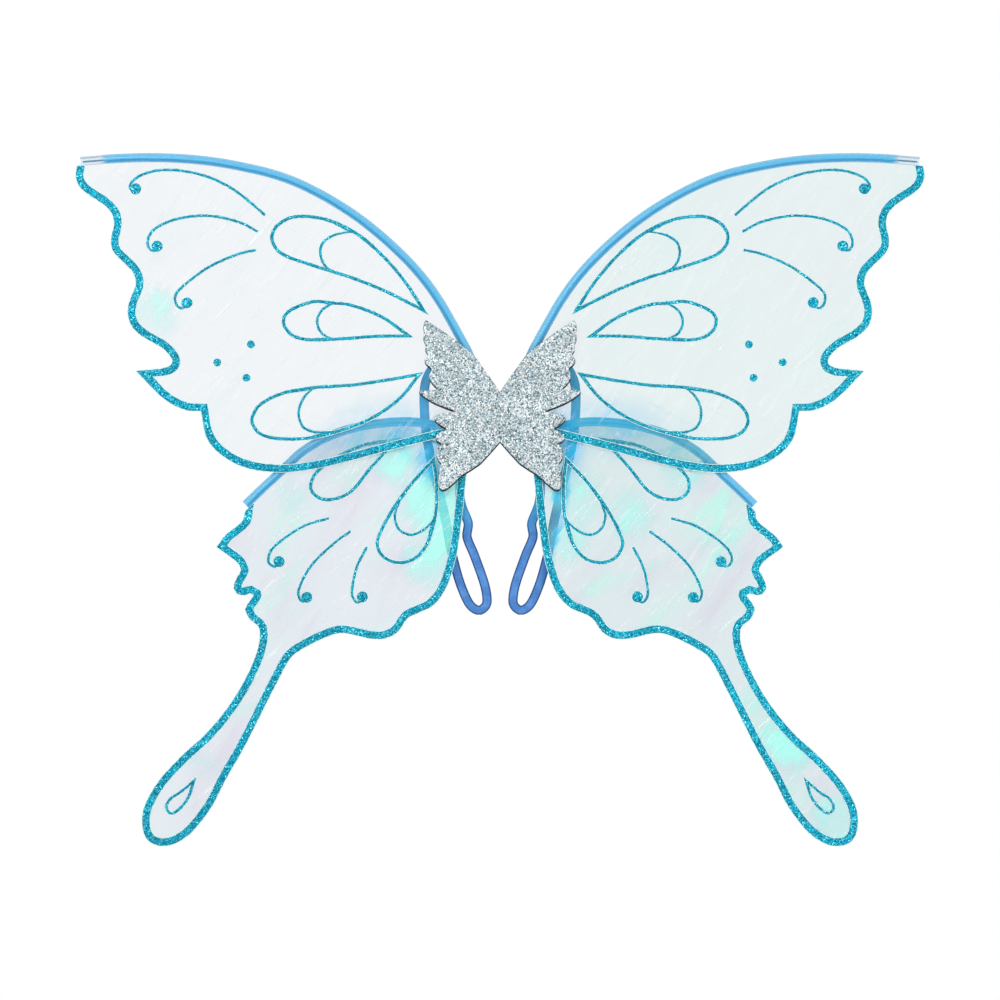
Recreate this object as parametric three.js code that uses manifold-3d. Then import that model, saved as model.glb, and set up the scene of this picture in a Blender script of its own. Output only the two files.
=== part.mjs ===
// Fairy wings: two forewings and two hindwings of clear film on wire, a glitter foam centrepiece
// in front of their roots, a back pad behind them and two elastic arm loops.
// Millimetres, +Z up, +X to the right of someone who looks at the decorated side, +Y towards the
// wearer. The origin is the middle of the pad's rear face, which lies on the wearer's back.

import * as THREE from 'three';
import { mergeVertices } from 'three/addons/utils/BufferGeometryUtils.js';
import Module from 'manifold-3d';

const wasm = await Module();
wasm.setup();

// ---- Driving dimensions ----------------------------------------------------------------

const wingspan = 850; // forewing tip to forewing tip
const wingHeight = 695; // top of the forewings down to the ends of the tails
const centrepieceWidth = 165;
const centrepieceHeight = 172;

const filmThickness = 0.5;
const borderWidth = 7; // glitter band along the cut edge of each film
const printThickness = 0.75; // glitter bands, loops, curls and dots
const loopLineWidth = 2.8;
const arcLineWidth = 2.2;
const curlLineWidth = 2.2;
const curlDotRadius = 5.4;
const smallDotRadius = 3.8;
const teardropLineWidth = 2.4;

const casingWidth = 7.4; // flat blue sleeve that holds the wire
const casingThickness = 3.4;
const casingBore = 3;
const wireDiameter = 1.8;
const wireSetBack = 2; // the wire stops this far inside the sleeve's open end

const centrepieceThickness = 2.5;
const padThickness = 3.5;
const patchThickness = 1.2;
const patchInset = 3; // the felt patch stops this far inside the pad's edge
const bindingWidth = 2.4;
const webbingWidth = 9.5;
const webbingThickness = 1.3;
const webbingInset = 0.35; // the webbing's rear face lies this far in front of the pad's
const strapDrop = 133; // lower stitching down to the bottom of the hanging loop
const strapBulge = 7; // how far the hanging loop stands back from the pad

const gap = 0.3; // between pieces that touch
const cornerClearance = 0.5; // between the two lines that meet in a corner of the film
const swingGap = 1.2; // between a strap and the tab that it swings on
const strapLead = 4; // the strap leaves its upper tab straight for this far
const bindingGap = 0.6; // between the binding and what folds beside it
const overlapClearance = 1.05; // between the hindwing's sleeve and the forewing's film
const centrepieceClearance = 1.3; // between the forewing's sleeve and the centrepiece

// ---- Layers, from the wearer's back forwards (towards -Y) --------------------------------

const padFront = -padThickness;
const patchRear = padFront - gap;
const patchFront = patchRear - patchThickness;
const hindPlane = patchFront - gap - casingThickness / 2;
const forePlane = hindPlane - casingThickness / 2 - overlapClearance - filmThickness / 2;
const centrepieceRear = forePlane - casingThickness / 2 - centrepieceClearance;
const centrepieceFront = centrepieceRear - centrepieceThickness;
const strapPlane = -webbingInset - webbingThickness / 2;

// ---- Outlines ----------------------------------------------------------------------------
// Each point is [outboard from the middle, up from the origin], drawn at the spans below.

const drawnWing = { span: 850, height: 695 };
const drawnCentre = { width: 165, height: 172 };

const foreCasing = [[422, 254.5], [388, 257], [350, 258], [307, 256], [263, 249.5], [211, 235.5],
  [150, 202.5], [100, 161], [70, 126.5], [50, 94], [34, 65], [26, 50]];
const foreWireRoot = [[20, 39], [15, 28]];

// The scalloped edge runs from the tip to a spike, on to a square corner, and back to the root.
const foreScallops = [[423, 241], [419.5, 231.5], [410, 224], [394, 213], [386, 202], [384.5, 191],
  [387.5, 176], [386, 167], [374, 155], [365, 143.5], [362.5, 131.5], [368, 117], [370.5, 102.5],
  [366.5, 90.5], [353.5, 79.5], [339, 71.5], [329, 62], [326, 54.5], [328, 48.5], [336, 44],
  [347, 42.5], [358, 41.5]];
const foreSpikeEdge = [[358, 41.5], [344, 26], [330, 15.5], [316, 9], [297.5, 7.5]];
const foreLowerEdge = [[297.5, 7.5], [295, -11], [289, -25.5], [275.5, -39], [254, -49.5],
  [229, -53.5], [201, -52.5], [171, -47], [140, -39], [104, -29.5], [70, -21], [46, -15]];

const hindCasing = [[255.5, -91], [239, -75], [219, -56.5], [201, -39.5], [176, -24],
  [148, -14], [120, -9], [92, -7.5], [70, -10], [58, -14], [46, -19]];
const hindWireRoot = [[36, -22], [26, -22.5]];

const hindShoulder = [[254.5, -106], [263, -115.5], [274, -124], [280, -132]];
const hindScallops = [[280, -132], [268.5, -139.5], [259.5, -149], [257, -157], [261, -166],
  [264.5, -172.5], [261, -177.5], [250.5, -175.5], [244, -180], [247.5, -188], [252.5, -195.5],
  [248.5, -203.5], [240, -211], [237.5, -222.5], [242, -242.5], [250, -261.5], [267.5, -291.5],
  [290, -320], [317, -345], [340.5, -371], [352, -389.5], [356, -408.5], [351, -425],
  [338, -429.5], [320.5, -423], [300, -402.5], [283.5, -372], [266.5, -343], [250, -311],
  [234, -279.5], [220.5, -252.5], [209, -237], [195, -230.5], [182, -223], [167, -216.5],
  [149.5, -216], [123, -222], [107.5, -217], [93, -199.5], [74.5, -192], [61, -178],
  [50, -149.5], [44, -115.5], [40.5, -85], [38.5, -66], [37, -50]];

// A loop starts and ends at its point; its arc crosses it from line to line.
const foreLoops = {
  upper: {
    loop: [[76.5, 105], [90, 126.5], [112, 153.5], [135, 176], [162, 192], [186.5, 199],
      [210.5, 198.5], [225.5, 189], [229.5, 178], [223.5, 165.5], [208, 157], [179, 147.5],
      [137, 134], [100, 117]],
    arc: [[148.5, 184.5], [167, 181], [179, 172], [180.5, 160], [175, 149], [165, 142.5]],
  },
  middle: {
    loop: [[91.5, 79.5], [105, 91], [132, 104.5], [161, 113], [183, 114.5], [204, 109],
      [216.5, 99.5], [217, 90], [208.5, 80], [195, 76], [164, 76.5], [129, 79], [106, 80]],
    arc: [[167, 114], [179.5, 105], [184, 94], [179.5, 82.5], [169, 76.5]],
  },
  lower: {
    loop: [[81, 41], [118, 34.5], [150, 30], [187, 27.5], [221, 21], [242.5, 9], [249.5, -5.5],
      [243.5, -17], [229.5, -23], [201, -24], [171, -18.5], [141, -8.5], [113, 6], [96, 22]],
    arc: [[187, 27.5], [197, 18], [202.5, 2.5], [198, -12], [185, -17.5], [165, -17]],
  },
};
const hindLoops = {
  upper: {
    loop: [[103.5, -24.5], [123, -26], [148, -34.5], [175, -49.5], [188.5, -63], [190, -75.5],
      [181, -84], [167, -84.5], [151, -77.5], [134.5, -58], [118, -39.5]],
  },
  lower: {
    loop: [[67, -45], [83, -61.5], [99, -82.5], [115.5, -107.5], [123.5, -129.5], [117.5, -142.5],
      [103.5, -148.5], [87, -145], [74.5, -131.5], [66.5, -108.5], [63.5, -84], [64.5, -62]],
    arc: [[102, -88], [106, -101.5], [102, -114.5], [91, -120.5], [79, -117], [67, -106]],
  },
};
const teardrop = [[308, -368], [311.5, -381], [321.5, -395.5], [331, -400.5], [335.5, -394.5],
  [331, -385.5], [319, -378]];

// A curl is a line that hooks round below a dot and runs into it.
const foreCurls = {
  upper: {
    dot: [366.5, 227.5],
    line: [[368, 225.5], [372, 228], [370.5, 234], [361.5, 241], [344, 246], [324, 246],
      [302, 242], [277.5, 232.5], [256, 218], [236.5, 201]],
  },
  middle: {
    dot: [345, 170],
    line: [[345, 166.5], [350, 165.5], [354, 169.5], [354.3, 176.5], [349.5, 185.5], [336, 193.5],
      [318, 199], [296, 200.5], [267.5, 196], [244, 184.5]],
  },
  lower: {
    dot: [315, 113],
    line: [[315.5, 109.5], [321, 107.5], [326, 112], [326.3, 121.5], [315, 133], [292, 149.5],
      [267.5, 160.5], [245.5, 166]],
  },
};
const hindCurls = {
  outer: {
    dot: [222.5, -147.5],
    line: [[222.5, -151], [228, -152.5], [233, -148], [231.5, -138], [217.5, -124], [199, -112.5],
      [172.5, -104]],
  },
  middle: {
    dot: [194.5, -183.5],
    line: [[194.5, -187], [199.5, -187.5], [203, -181], [199, -166], [186, -146.5], [167, -129],
      [150.5, -117]],
  },
  inner: {
    dot: [138.5, -183],
    line: [[138.5, -187], [144, -188.5], [148.3, -183], [148.5, -171], [143, -150], [134, -133]],
  },
};
const smallDots = [[250.5, 71], [284.5, 53], [255, 37.5]];

// Half of the feathered centrepiece, from its upper notch round to its lower one.
const feathers = [[0, 23], [12, 40.5], [24.5, 58], [33, 66], [53.5, 81.5], [75, 96], [77.5, 88],
  [76, 84], [77.5, 77], [74.5, 71], [75.5, 65], [71.5, 60.5], [76.5, 55.5], [74, 50.5], [68, 46.5],
  [71.5, 41], [71, 36], [67, 30.5], [61.5, 25.5], [82.5, 24], [76, 18], [66, 12], [55, 7.5],
  [44, 3.5], [58, 1.5], [66.5, -1.5], [65.5, -5.5], [61, -9.5], [53, -14], [61, -17.5], [65.5, -22],
  [63.5, -26.5], [58, -28.5], [62.5, -33], [64, -40], [62, -46], [58.5, -48.5], [61, -55],
  [62, -70.5], [60.5, -74.5], [57.5, -76], [53, -74], [45, -67], [38.5, -60.5], [30, -55.5],
  [19.5, -48.5], [9, -37], [0, -26.5]];

// Half of the pad, four lobes that stay behind the centrepiece.
const padLobes = [[0, 14], [13, 32], [27, 50], [43, 62], [54, 61], [59, 51], [56.5, 36],
  [49, 19], [43, 3], [44, -12], [49, -27], [50, -43], [45.5, -55.5], [36.5, -54.5], [25, -45],
  [12, -33], [0, -21]];

const upperTab = [[54, 61], [66, 49]];
const lowerTab = [[41, -48], [41, -63]];
// The strap beside the pad, then below it as [outboard, share of strapDrop].
const strapBesidePad = [[71.5, 42], [75.2, 33], [76, 17.5], [75.5, -8], [72, -33], [67, -55]];
const strapBelowPad = [[61, 0.11], [56, 0.27], [51, 0.48], [45, 0.67], [37.5, 0.85], [30, 0.96],
  [21, 1], [13.8, 0.955], [14.2, 0.85], [20.5, 0.69], [29, 0.52], [33.5, 0.43], [32, 0.34],
  [37, 0.24], [40.5, 0.15], [41.2, 0.07]];

const onWing = ([u, v]) => [u * wingspan / drawnWing.span, v * wingHeight / drawnWing.height];
const onCentre = ([u, v]) => [
  u * centrepieceWidth / drawnCentre.width,
  v * centrepieceHeight / drawnCentre.height,
];

// ---- Curves and flat outlines ---------------------------------------------------------------

const fineSteps = 240;
const greatestTurn = 22 * Math.PI / 180;
const greatestStep = 34;
const sleeveSides = 8;
const wireSides = 6;
const curlDotSides = 16;
const smallDotSides = 14;
const foreSleeveSteps = 20;
const hindSleeveSteps = 16;
const wireRootSteps = 2; // the wire runs on past its sleeve

const subtract = (a, b) => [a[0] - b[0], a[1] - b[1]];
const length = ([u, v]) => Math.hypot(u, v);
const unit = (a) => [a[0] / length(a), a[1] / length(a)];

function turnBetween(a, b) {
  const cross = a[0] * b[1] - a[1] * b[0];
  const dot = a[0] * b[0] + a[1] * b[1];
  return Math.abs(Math.atan2(cross, dot));
}

// Stations on a smooth curve through the points: close where it bends, far apart where it runs on.
function smooth(points) {
  const knots = points.map(([u, v]) => new THREE.Vector3(u, v, 0));
  const curve = new THREE.CatmullRomCurve3(knots, false, 'centripetal');
  const fine = curve.getSpacedPoints(fineSteps).map(({ x, y }) => [x, y]);
  const stations = [fine[0]];
  let turned = 0;
  for (let i = 1; i < fineSteps; i += 1) {
    turned += turnBetween(subtract(fine[i], fine[i - 1]), subtract(fine[i + 1], fine[i]));
    const step = length(subtract(fine[i], stations.at(-1)));
    if (turned > greatestTurn || step > greatestStep) {
      stations.push(fine[i]);
      turned = 0;
    }
  }
  stations.push(fine[fineSteps]);
  return stations;
}

// Smooth stretches that meet at sharp corners.
const cornered = (...stretches) => stretches.flatMap((points, i) => smooth(points).slice(i ? 1 : 0));

// The path moved sideways, to the left of its direction for a positive distance, with mitred corners.
function moved(path, distance, closed = false) {
  const count = path.length;
  return path.map((point, i) => {
    const before = closed ? path[(i + count - 1) % count] : path[Math.max(i - 1, 0)];
    const after = closed ? path[(i + 1) % count] : path[Math.min(i + 1, count - 1)];
    const into = before === point ? unit(subtract(after, point)) : unit(subtract(point, before));
    const out = after === point ? into : unit(subtract(after, point));
    const across = unit([-(into[1] + out[1]), into[0] + out[0]]);
    const mitre = distance / (across[0] * -into[1] + across[1] * into[0]);
    return [point[0] + across[0] * mitre, point[1] + across[1] * mitre];
  });
}

// A closed outline moved outwards, or inwards for a negative distance.
function grown(outline, distance) {
  const anticlockwise = THREE.ShapeUtils.area(outline.map(([x, y]) => ({ x, y }))) > 0;
  return moved(outline, anticlockwise ? -distance : distance, true);
}

const band = (path, width) => [...moved(path, width / 2), ...moved(path, -width / 2).reverse()];
const circle = ([u, v], radius, sides) => Array.from({ length: sides }, (_, i) => {
  const angle = 2 * Math.PI * i / sides;
  return [u + radius * Math.cos(angle), v + radius * Math.sin(angle)];
});

// ---- Solids -----------------------------------------------------------------------------------

// A flat piece of the outline's shape between two planes of constant Y, on one side of the middle.
function plate(side, outline, front, rear, hole) {
  const anticlockwise = (points) => {
    const corners = points.map(([u, v]) => new THREE.Vector2(side * u, v));
    return THREE.ShapeUtils.isClockWise(corners) ? corners.reverse() : corners;
  };
  const shape = new THREE.Shape(anticlockwise(outline));
  if (hole) shape.holes.push(new THREE.Path(anticlockwise(hole)));
  const geometry = new THREE.ExtrudeGeometry(shape, { depth: rear - front, bevelEnabled: false });
  geometry.rotateX(Math.PI / 2);
  geometry.translate(0, rear, 0);
  return geometry;
}

const samePlace = 1e-4; // vertices closer than this are one
const cutterMargin = 1; // how far a cutter stands out of what it cuts

const onlyPosition = (geometry) => {
  const bare = geometry.clone();
  bare.deleteAttribute('normal');
  bare.deleteAttribute('uv');
  return mergeVertices(bare, samePlace);
};

function toManifold(geometry) {
  const merged = onlyPosition(geometry);
  return new wasm.Manifold(new wasm.Mesh({
    numProp: 3,
    vertProperties: new Float32Array(merged.attributes.position.array),
    triVerts: new Uint32Array(merged.index.array),
  }));
}

function fromManifold(solid) {
  const { vertProperties, triVerts } = solid.getMesh();
  const geometry = new THREE.BufferGeometry();
  geometry.setAttribute('position', new THREE.BufferAttribute(vertProperties, 3));
  geometry.setIndex(new THREE.BufferAttribute(triVerts, 1));
  return geometry;
}

const joined = (...pieces) => fromManifold(
  pieces.map(toManifold).reduce((whole, piece) => whole.add(piece)),
);
const cut = (piece, cutter) => fromManifold(toManifold(piece).subtract(toManifold(cutter)));

// A tube or rod along a path in a plane of constant Y. The section is [across the plane, in it].
function swept(side, path, plane, section, steps, sides) {
  const knots = path.map(([u, v]) => new THREE.Vector3(side * u, plane, v));
  return new THREE.ExtrudeGeometry(section, {
    extrudePath: new THREE.CatmullRomCurve3(knots, false, 'centripetal'),
    steps,
    curveSegments: sides,
    bevelEnabled: false,
  });
}

function ellipse(across, along) {
  return new THREE.Shape().absellipse(0, 0, across / 2, along / 2, 0, 2 * Math.PI);
}

function sleeveSection() {
  const section = ellipse(casingThickness, casingWidth);
  section.holes.push(new THREE.Path().absellipse(0, 0, casingBore / 2, casingBore / 2, 0, 2 * Math.PI));
  return section;
}

// Webbing laid flat along a path of [outboard, back, up], its width in the XZ plane.
function webbing(side, path) {
  const flat = path.map(([u, , v]) => [u, v]);
  const edges = [moved(flat, webbingWidth / 2), moved(flat, -webbingWidth / 2)];
  const positions = [];
  path.forEach(([, y], i) => {
    for (const [edge, face] of [[0, -1], [1, -1], [1, 1], [0, 1]]) {
      const [u, v] = edges[edge][i];
      positions.push(side * u, y + face * webbingThickness / 2, v);
    }
  });
  const faces = [[0, 1, 2], [0, 2, 3]];
  const last = 4 * (path.length - 1);
  faces.push([last, last + 2, last + 1], [last, last + 3, last + 2]);
  for (let i = 0; i < path.length - 1; i += 1) {
    for (let k = 0; k < 4; k += 1) {
      const [a, b] = [4 * i + k, 4 * i + (k + 1) % 4];
      faces.push([a, a + 4, b + 4], [a, b + 4, b]);
    }
  }
  const outward = side < 0 ? faces : faces.map(([a, b, c]) => [a, c, b]);
  const geometry = new THREE.BufferGeometry();
  geometry.setAttribute('position', new THREE.Float32BufferAttribute(positions, 3));
  geometry.setIndex(outward.flat());
  return geometry;
}

// ---- Materials ----------------------------------------------------------------------------------

const finish = (color, roughness, metalness = 0) => new THREE.MeshStandardMaterial({
  color,
  roughness,
  metalness,
});
const finishes = {
  film: finish(0xe6f1f4, 0.2),
  glitter: finish(0x17a6ba, 0.45, 0.4),
  sleeve: finish(0x4fb0e8, 0.3),
  wire: finish(0x4a5058, 0.35, 0.9),
  silver: finish(0xc6cacb, 0.5, 0.6),
  felt: finish(0xdfe6ee, 0.95),
  elastic: finish(0x4b80d6, 0.8),
};

// ---- The wings ----------------------------------------------------------------------------------

const wings = new THREE.Group();

function add(name, geometry, material) {
  const mesh = new THREE.Mesh(geometry, material.clone());
  mesh.name = name;
  wings.add(mesh);
}

// Everything that lies on a film sits this far in front of it.
const printOn = (side, outline, plane, hole) => {
  const rear = plane - filmThickness / 2 - gap;
  return plate(side, outline, rear - printThickness, rear, hole);
};

// The point beside the sleeve's open end where the cut edge starts, clear of the sleeve.
function besideSleeve(casing) {
  const [across] = moved(casing.slice(0, 2), casingWidth / 2 + gap + cornerClearance);
  return across;
}

function addSleeveAndWire(name, side, casing, root, plane, steps) {
  const [tip, next] = casing;
  const inwards = unit(subtract(next, tip));
  const wireTip = [tip[0] + inwards[0] * wireSetBack, tip[1] + inwards[1] * wireSetBack];
  const wirePath = [wireTip, ...casing.slice(1), ...root];
  const sleeve = swept(side, casing, plane, sleeveSection(), steps, sleeveSides);
  add(`${name}_casing`, sleeve, finishes.sleeve);
  const wire = ellipse(wireDiameter, wireDiameter);
  const wireSteps = steps + wireRootSteps;
  add(`${name}_wire`, swept(side, wirePath, plane, wire, wireSteps, wireSides), finishes.wire);
}

// The glitter band along the film's cut edge. It runs up to the sleeve and is cut along it.
function borderOn(side, [tip, next], edge, plane) {
  const way = unit(subtract(edge[1], edge[0]));
  const inwards = unit(subtract(next, tip));
  const squareness = Math.abs(way[0] * inwards[1] - way[1] * inwards[0]);
  const reach = length(subtract(edge[0], tip)) / squareness;
  const underSleeve = [edge[0][0] - way[0] * reach, edge[0][1] - way[1] * reach];
  const past = 2 * borderWidth;
  const ends = [-past, past].map((d) => [tip[0] + inwards[0] * d, tip[1] + inwards[1] * d]);
  const strip = band(ends, casingWidth + 2 * gap);
  const cutter = plate(side, strip, plane - casingThickness, plane + casingThickness);
  return cut(printOn(side, band([underSleeve, ...edge], borderWidth), plane), cutter);
}

// Film from the sleeve to the middle of the border, which covers its cut edge.
function addFilmAndBorder(name, side, casing, edge, plane) {
  const beside = moved(smooth(casing), casingWidth / 2 + gap).reverse();
  const film = plate(side, [...beside, ...edge], plane - filmThickness / 2, plane + filmThickness / 2);
  add(`${name}_film`, film, finishes.film);
  add(`${name}_border`, borderOn(side, casing, edge, plane), finishes.glitter);
}

function addLoop(name, side, { loop, arc }, plane) {
  const ring = smooth([...loop, loop[0]].map(onWing)).slice(0, -1);
  const line = printOn(side, grown(ring, loopLineWidth / 2), plane, grown(ring, -loopLineWidth / 2));
  const crossing = arc && printOn(side, band(smooth(arc.map(onWing)), arcLineWidth), plane);
  add(name, crossing ? joined(line, crossing) : line, finishes.glitter);
}

function addCurl(name, side, { dot, line }, plane) {
  const hook = printOn(side, band(smooth(line.map(onWing)), curlLineWidth), plane);
  const disc = printOn(side, circle(onWing(dot), curlDotRadius, curlDotSides), plane);
  add(name, joined(hook, disc), finishes.glitter);
}

function addTeardrop(name, side, plane) {
  const ring = smooth([...teardrop, teardrop[0]].map(onWing)).slice(0, -1);
  const [outer, inner] = [teardropLineWidth / 2, -teardropLineWidth / 2].map((d) => grown(ring, d));
  add(name, printOn(side, outer, plane, inner), finishes.glitter);
}

function addForewing(word, side) {
  const casing = foreCasing.map(onWing);
  const edge = cornered(
    [besideSleeve(casing), ...foreScallops.map(onWing)],
    foreSpikeEdge.map(onWing),
    foreLowerEdge.map(onWing),
  );
  const name = `${word}_forewing`;
  addSleeveAndWire(name, side, casing, foreWireRoot.map(onWing), forePlane, foreSleeveSteps);
  addFilmAndBorder(name, side, casing, edge, forePlane);
  for (const [place, drawing] of Object.entries(foreLoops)) {
    addLoop(`${name}_loop_${place}`, side, drawing, forePlane);
  }
  for (const [place, curl] of Object.entries(foreCurls)) {
    addCurl(`${name}_curl_${place}`, side, curl, forePlane);
  }
  smallDots.forEach((dot, i) => {
    const disc = circle(onWing(dot), smallDotRadius, smallDotSides);
    add(`${name}_dot_${i + 1}`, printOn(side, disc, forePlane), finishes.glitter);
  });
}

function addHindwing(word, side) {
  const casing = hindCasing.map(onWing);
  const shoulder = [besideSleeve(casing), ...hindShoulder.map(onWing)];
  const edge = cornered(shoulder, hindScallops.map(onWing));
  const name = `${word}_hindwing`;
  addSleeveAndWire(name, side, casing, hindWireRoot.map(onWing), hindPlane, hindSleeveSteps);
  addFilmAndBorder(name, side, casing, edge, hindPlane);
  for (const [place, drawing] of Object.entries(hindLoops)) {
    addLoop(`${name}_loop_${place}`, side, drawing, hindPlane);
  }
  for (const [place, curl] of Object.entries(hindCurls)) {
    addCurl(`${name}_curl_${place}`, side, curl, hindPlane);
  }
  addTeardrop(`${name}_teardrop`, side, hindPlane);
}

// ---- The middle -----------------------------------------------------------------------------------

const padHalf = smooth(padLobes.map(onCentre));
const mirrored = (half) => [...half, ...half.slice(1, -1).reverse().map(([u, v]) => [-u, v])];
const padOutline = mirrored(padHalf);

// The part of half an outline more than a distance outboard of the middle, closed along that line.
function outboardOf(outline, distance) {
  const first = outline.findIndex(([u]) => u > distance);
  const last = outline.findLastIndex(([u]) => u > distance);
  const crossing = ([u, v], [nextU, nextV]) => [
    distance,
    v + (nextV - v) * (distance - u) / (nextU - u),
  ];
  return [
    crossing(outline[first - 1], outline[first]),
    ...outline.slice(first, last + 1),
    crossing(outline[last + 1], outline[last]),
  ];
}

function addCentrepieceHalf(word, side) {
  const half = outboardOf(feathers.map(onCentre), gap / 2);
  add(`${word}_centrepiece`, plate(side, half, centrepieceFront, centrepieceRear), finishes.silver);
}

function addRootPatch(word, side) {
  const smaller = grown(padOutline, -patchInset).slice(0, padHalf.length);
  const half = outboardOf(smaller, bindingWidth / 2 + bindingGap);
  add(`${word}_root_patch`, plate(side, half, patchFront, patchRear), finishes.felt);
}

function addPadAndBinding() {
  add('back_pad', plate(1, padOutline, padFront, 0), finishes.felt);
  const [top, bottom] = [padLobes[0], padLobes.at(-1)].map((point) => onCentre(point)[1]);
  const binding = new THREE.BoxGeometry(bindingWidth, patchRear - centrepieceRear - gap, top - bottom);
  binding.translate(0, (patchRear + centrepieceRear + gap) / 2, (top + bottom) / 2);
  add('centre_binding', binding, finishes.felt);
}

// The strap's sewn ends stand out of the pad's seam, cut to its edge.
function addTab(name, side, tab) {
  const strip = band(tab.map(onCentre), webbingWidth);
  const faces = [strapPlane - webbingThickness / 2, strapPlane + webbingThickness / 2];
  const around = [faces[0] - cutterMargin, faces[1] + cutterMargin];
  const cutter = plate(side, grown(padOutline, gap), ...around);
  add(name, cut(plate(side, strip, ...faces), cutter), finishes.elastic);
}

// Stations of the strap from its upper end round to its lower one. It leaves the upper tab in line
// with it, so the two end edges stay parallel.
function strapRoute() {
  const beyond = ([from, to], distance) => {
    const way = unit(subtract(to, from));
    return [to[0] + way[0] * distance, to[1] + way[1] * distance];
  };
  const upper = upperTab.map(onCentre);
  const end = beyond(lowerTab.map(onCentre), swingGap);
  const hung = strapBelowPad.map(([u, share]) => [onCentre([u, 0])[0], end[1] - share * strapDrop]);
  const lead = beyond(upper, swingGap + strapLead);
  return [beyond(upper, swingGap), ...smooth([lead, ...strapBesidePad.map(onCentre), ...hung, end])];
}

// Beside the pad the strap is flat, and the loop below it stands back more the lower it hangs.
function addStrap(word, side) {
  const flat = strapRoute();
  const top = flat[0][1];
  const sewn = flat.at(-1)[1];
  const lowest = Math.min(...flat.map(([, v]) => v));
  const path = flat.map(([u, v]) => {
    const hanging = Math.max(0, sewn - v) / (sewn - lowest);
    return [u, strapPlane + strapBulge * hanging * (top - v) / (top - lowest), v];
  });
  add(`${word}_strap`, webbing(side, path), finishes.elastic);
}

addPadAndBinding();
for (const [word, side] of [['left', -1], ['right', 1]]) {
  addForewing(word, side);
  addHindwing(word, side);
  addRootPatch(word, side);
  addCentrepieceHalf(word, side);
  addTab(`${word}_strap_tab_upper`, side, upperTab);
  addTab(`${word}_strap_tab_lower`, side, lowerTab);
  addStrap(word, side);
}

export default wings;
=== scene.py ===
"""Fairy wings: the visible pieces of a pair of costume wings, built round a fixed frame.

Everything is in metres, +Z up, and the decorated side faces -Y. Outlines are read from the frame,
so a piece always lies where the frame's solid lies.
"""

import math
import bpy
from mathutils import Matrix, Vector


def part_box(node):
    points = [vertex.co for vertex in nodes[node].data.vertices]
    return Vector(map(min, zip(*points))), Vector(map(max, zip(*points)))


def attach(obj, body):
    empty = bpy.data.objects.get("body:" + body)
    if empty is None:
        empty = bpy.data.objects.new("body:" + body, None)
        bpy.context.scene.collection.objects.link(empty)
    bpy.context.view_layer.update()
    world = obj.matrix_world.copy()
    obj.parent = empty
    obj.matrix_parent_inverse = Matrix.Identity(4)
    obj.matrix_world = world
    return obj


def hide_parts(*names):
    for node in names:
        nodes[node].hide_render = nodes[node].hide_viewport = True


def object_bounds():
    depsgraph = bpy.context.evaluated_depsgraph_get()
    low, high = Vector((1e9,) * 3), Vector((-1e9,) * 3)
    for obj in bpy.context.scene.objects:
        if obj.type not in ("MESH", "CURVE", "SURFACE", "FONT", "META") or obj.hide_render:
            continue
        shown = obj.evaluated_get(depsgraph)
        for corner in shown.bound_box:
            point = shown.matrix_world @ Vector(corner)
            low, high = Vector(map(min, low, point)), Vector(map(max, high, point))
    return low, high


bl_info = {
    "name": "Fairy wings",
    "version": (1, 0, 0),
    "blender": (4, 5, 0),
    "location": "3D View > Sidebar > Fairy wings",
    "description": "Film, glitter, sleeves, centrepiece, pad and arm loops of a pair of fairy wings",
    "category": "Add Mesh",
}

import bmesh
import bpy
import numpy as np
from bpy.props import FloatProperty, FloatVectorProperty, PointerProperty
from mathutils import Vector, noise
from mathutils.geometry import delaunay_2d_cdt, intersect_point_line
from mathutils.kdtree import KDTree

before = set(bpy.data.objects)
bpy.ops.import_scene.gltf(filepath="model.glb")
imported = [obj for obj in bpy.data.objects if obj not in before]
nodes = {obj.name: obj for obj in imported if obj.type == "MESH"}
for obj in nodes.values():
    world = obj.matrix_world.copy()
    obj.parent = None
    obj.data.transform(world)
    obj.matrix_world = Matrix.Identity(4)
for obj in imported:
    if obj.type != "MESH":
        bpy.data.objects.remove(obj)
cad_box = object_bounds()

MM = 0.001
SIDES = {"left": -1, "right": 1}
WINGS = ("forewing", "hindwing")

CORNER = math.radians(38)  # from this turn on, an outline has a true corner
TAIL_TOP = -0.26  # the height at which the tails start to curl
TUCK = 0.5 * MM  # how far the film reaches under the sleeves and the borders
GLUE_SPREAD = 0.75 * MM  # how far the clear glue shows round the glitter
STRAP_OVERLAP = 1.0 * MM  # how far an arm loop's ends reach over its sewn ends
NEAR_TIP = 6 * MM  # a sleeve's points this near its tip belong to its cut end


# ---- Numbers and colours -----------------------------------------------------------------------------


def smoothstep(low, high, value):
    share = min(max((value - low) / (high - low), 0.0), 1.0)
    return share * share * (3 - 2 * share)


def mix(a, b, share):
    return a + (b - a) * share


def colour(red, green, blue):
    """A scene-linear colour from display values of 0 to 255."""

    def linear(value):
        value /= 255
        return value / 12.92 if value <= 0.04045 else ((value + 0.055) / 1.055) ** 2.4

    return (linear(red), linear(green), linear(blue))


# ---- Outlines read from the frame --------------------------------------------------------------------
# A point is (outboard, depth, up): outboard is positive on both sides of the middle.


def side_of(node):
    return SIDES["left"] if node.startswith("left") else SIDES["right"]


def flat(point):
    return Vector((point.x, point.z))


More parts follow.
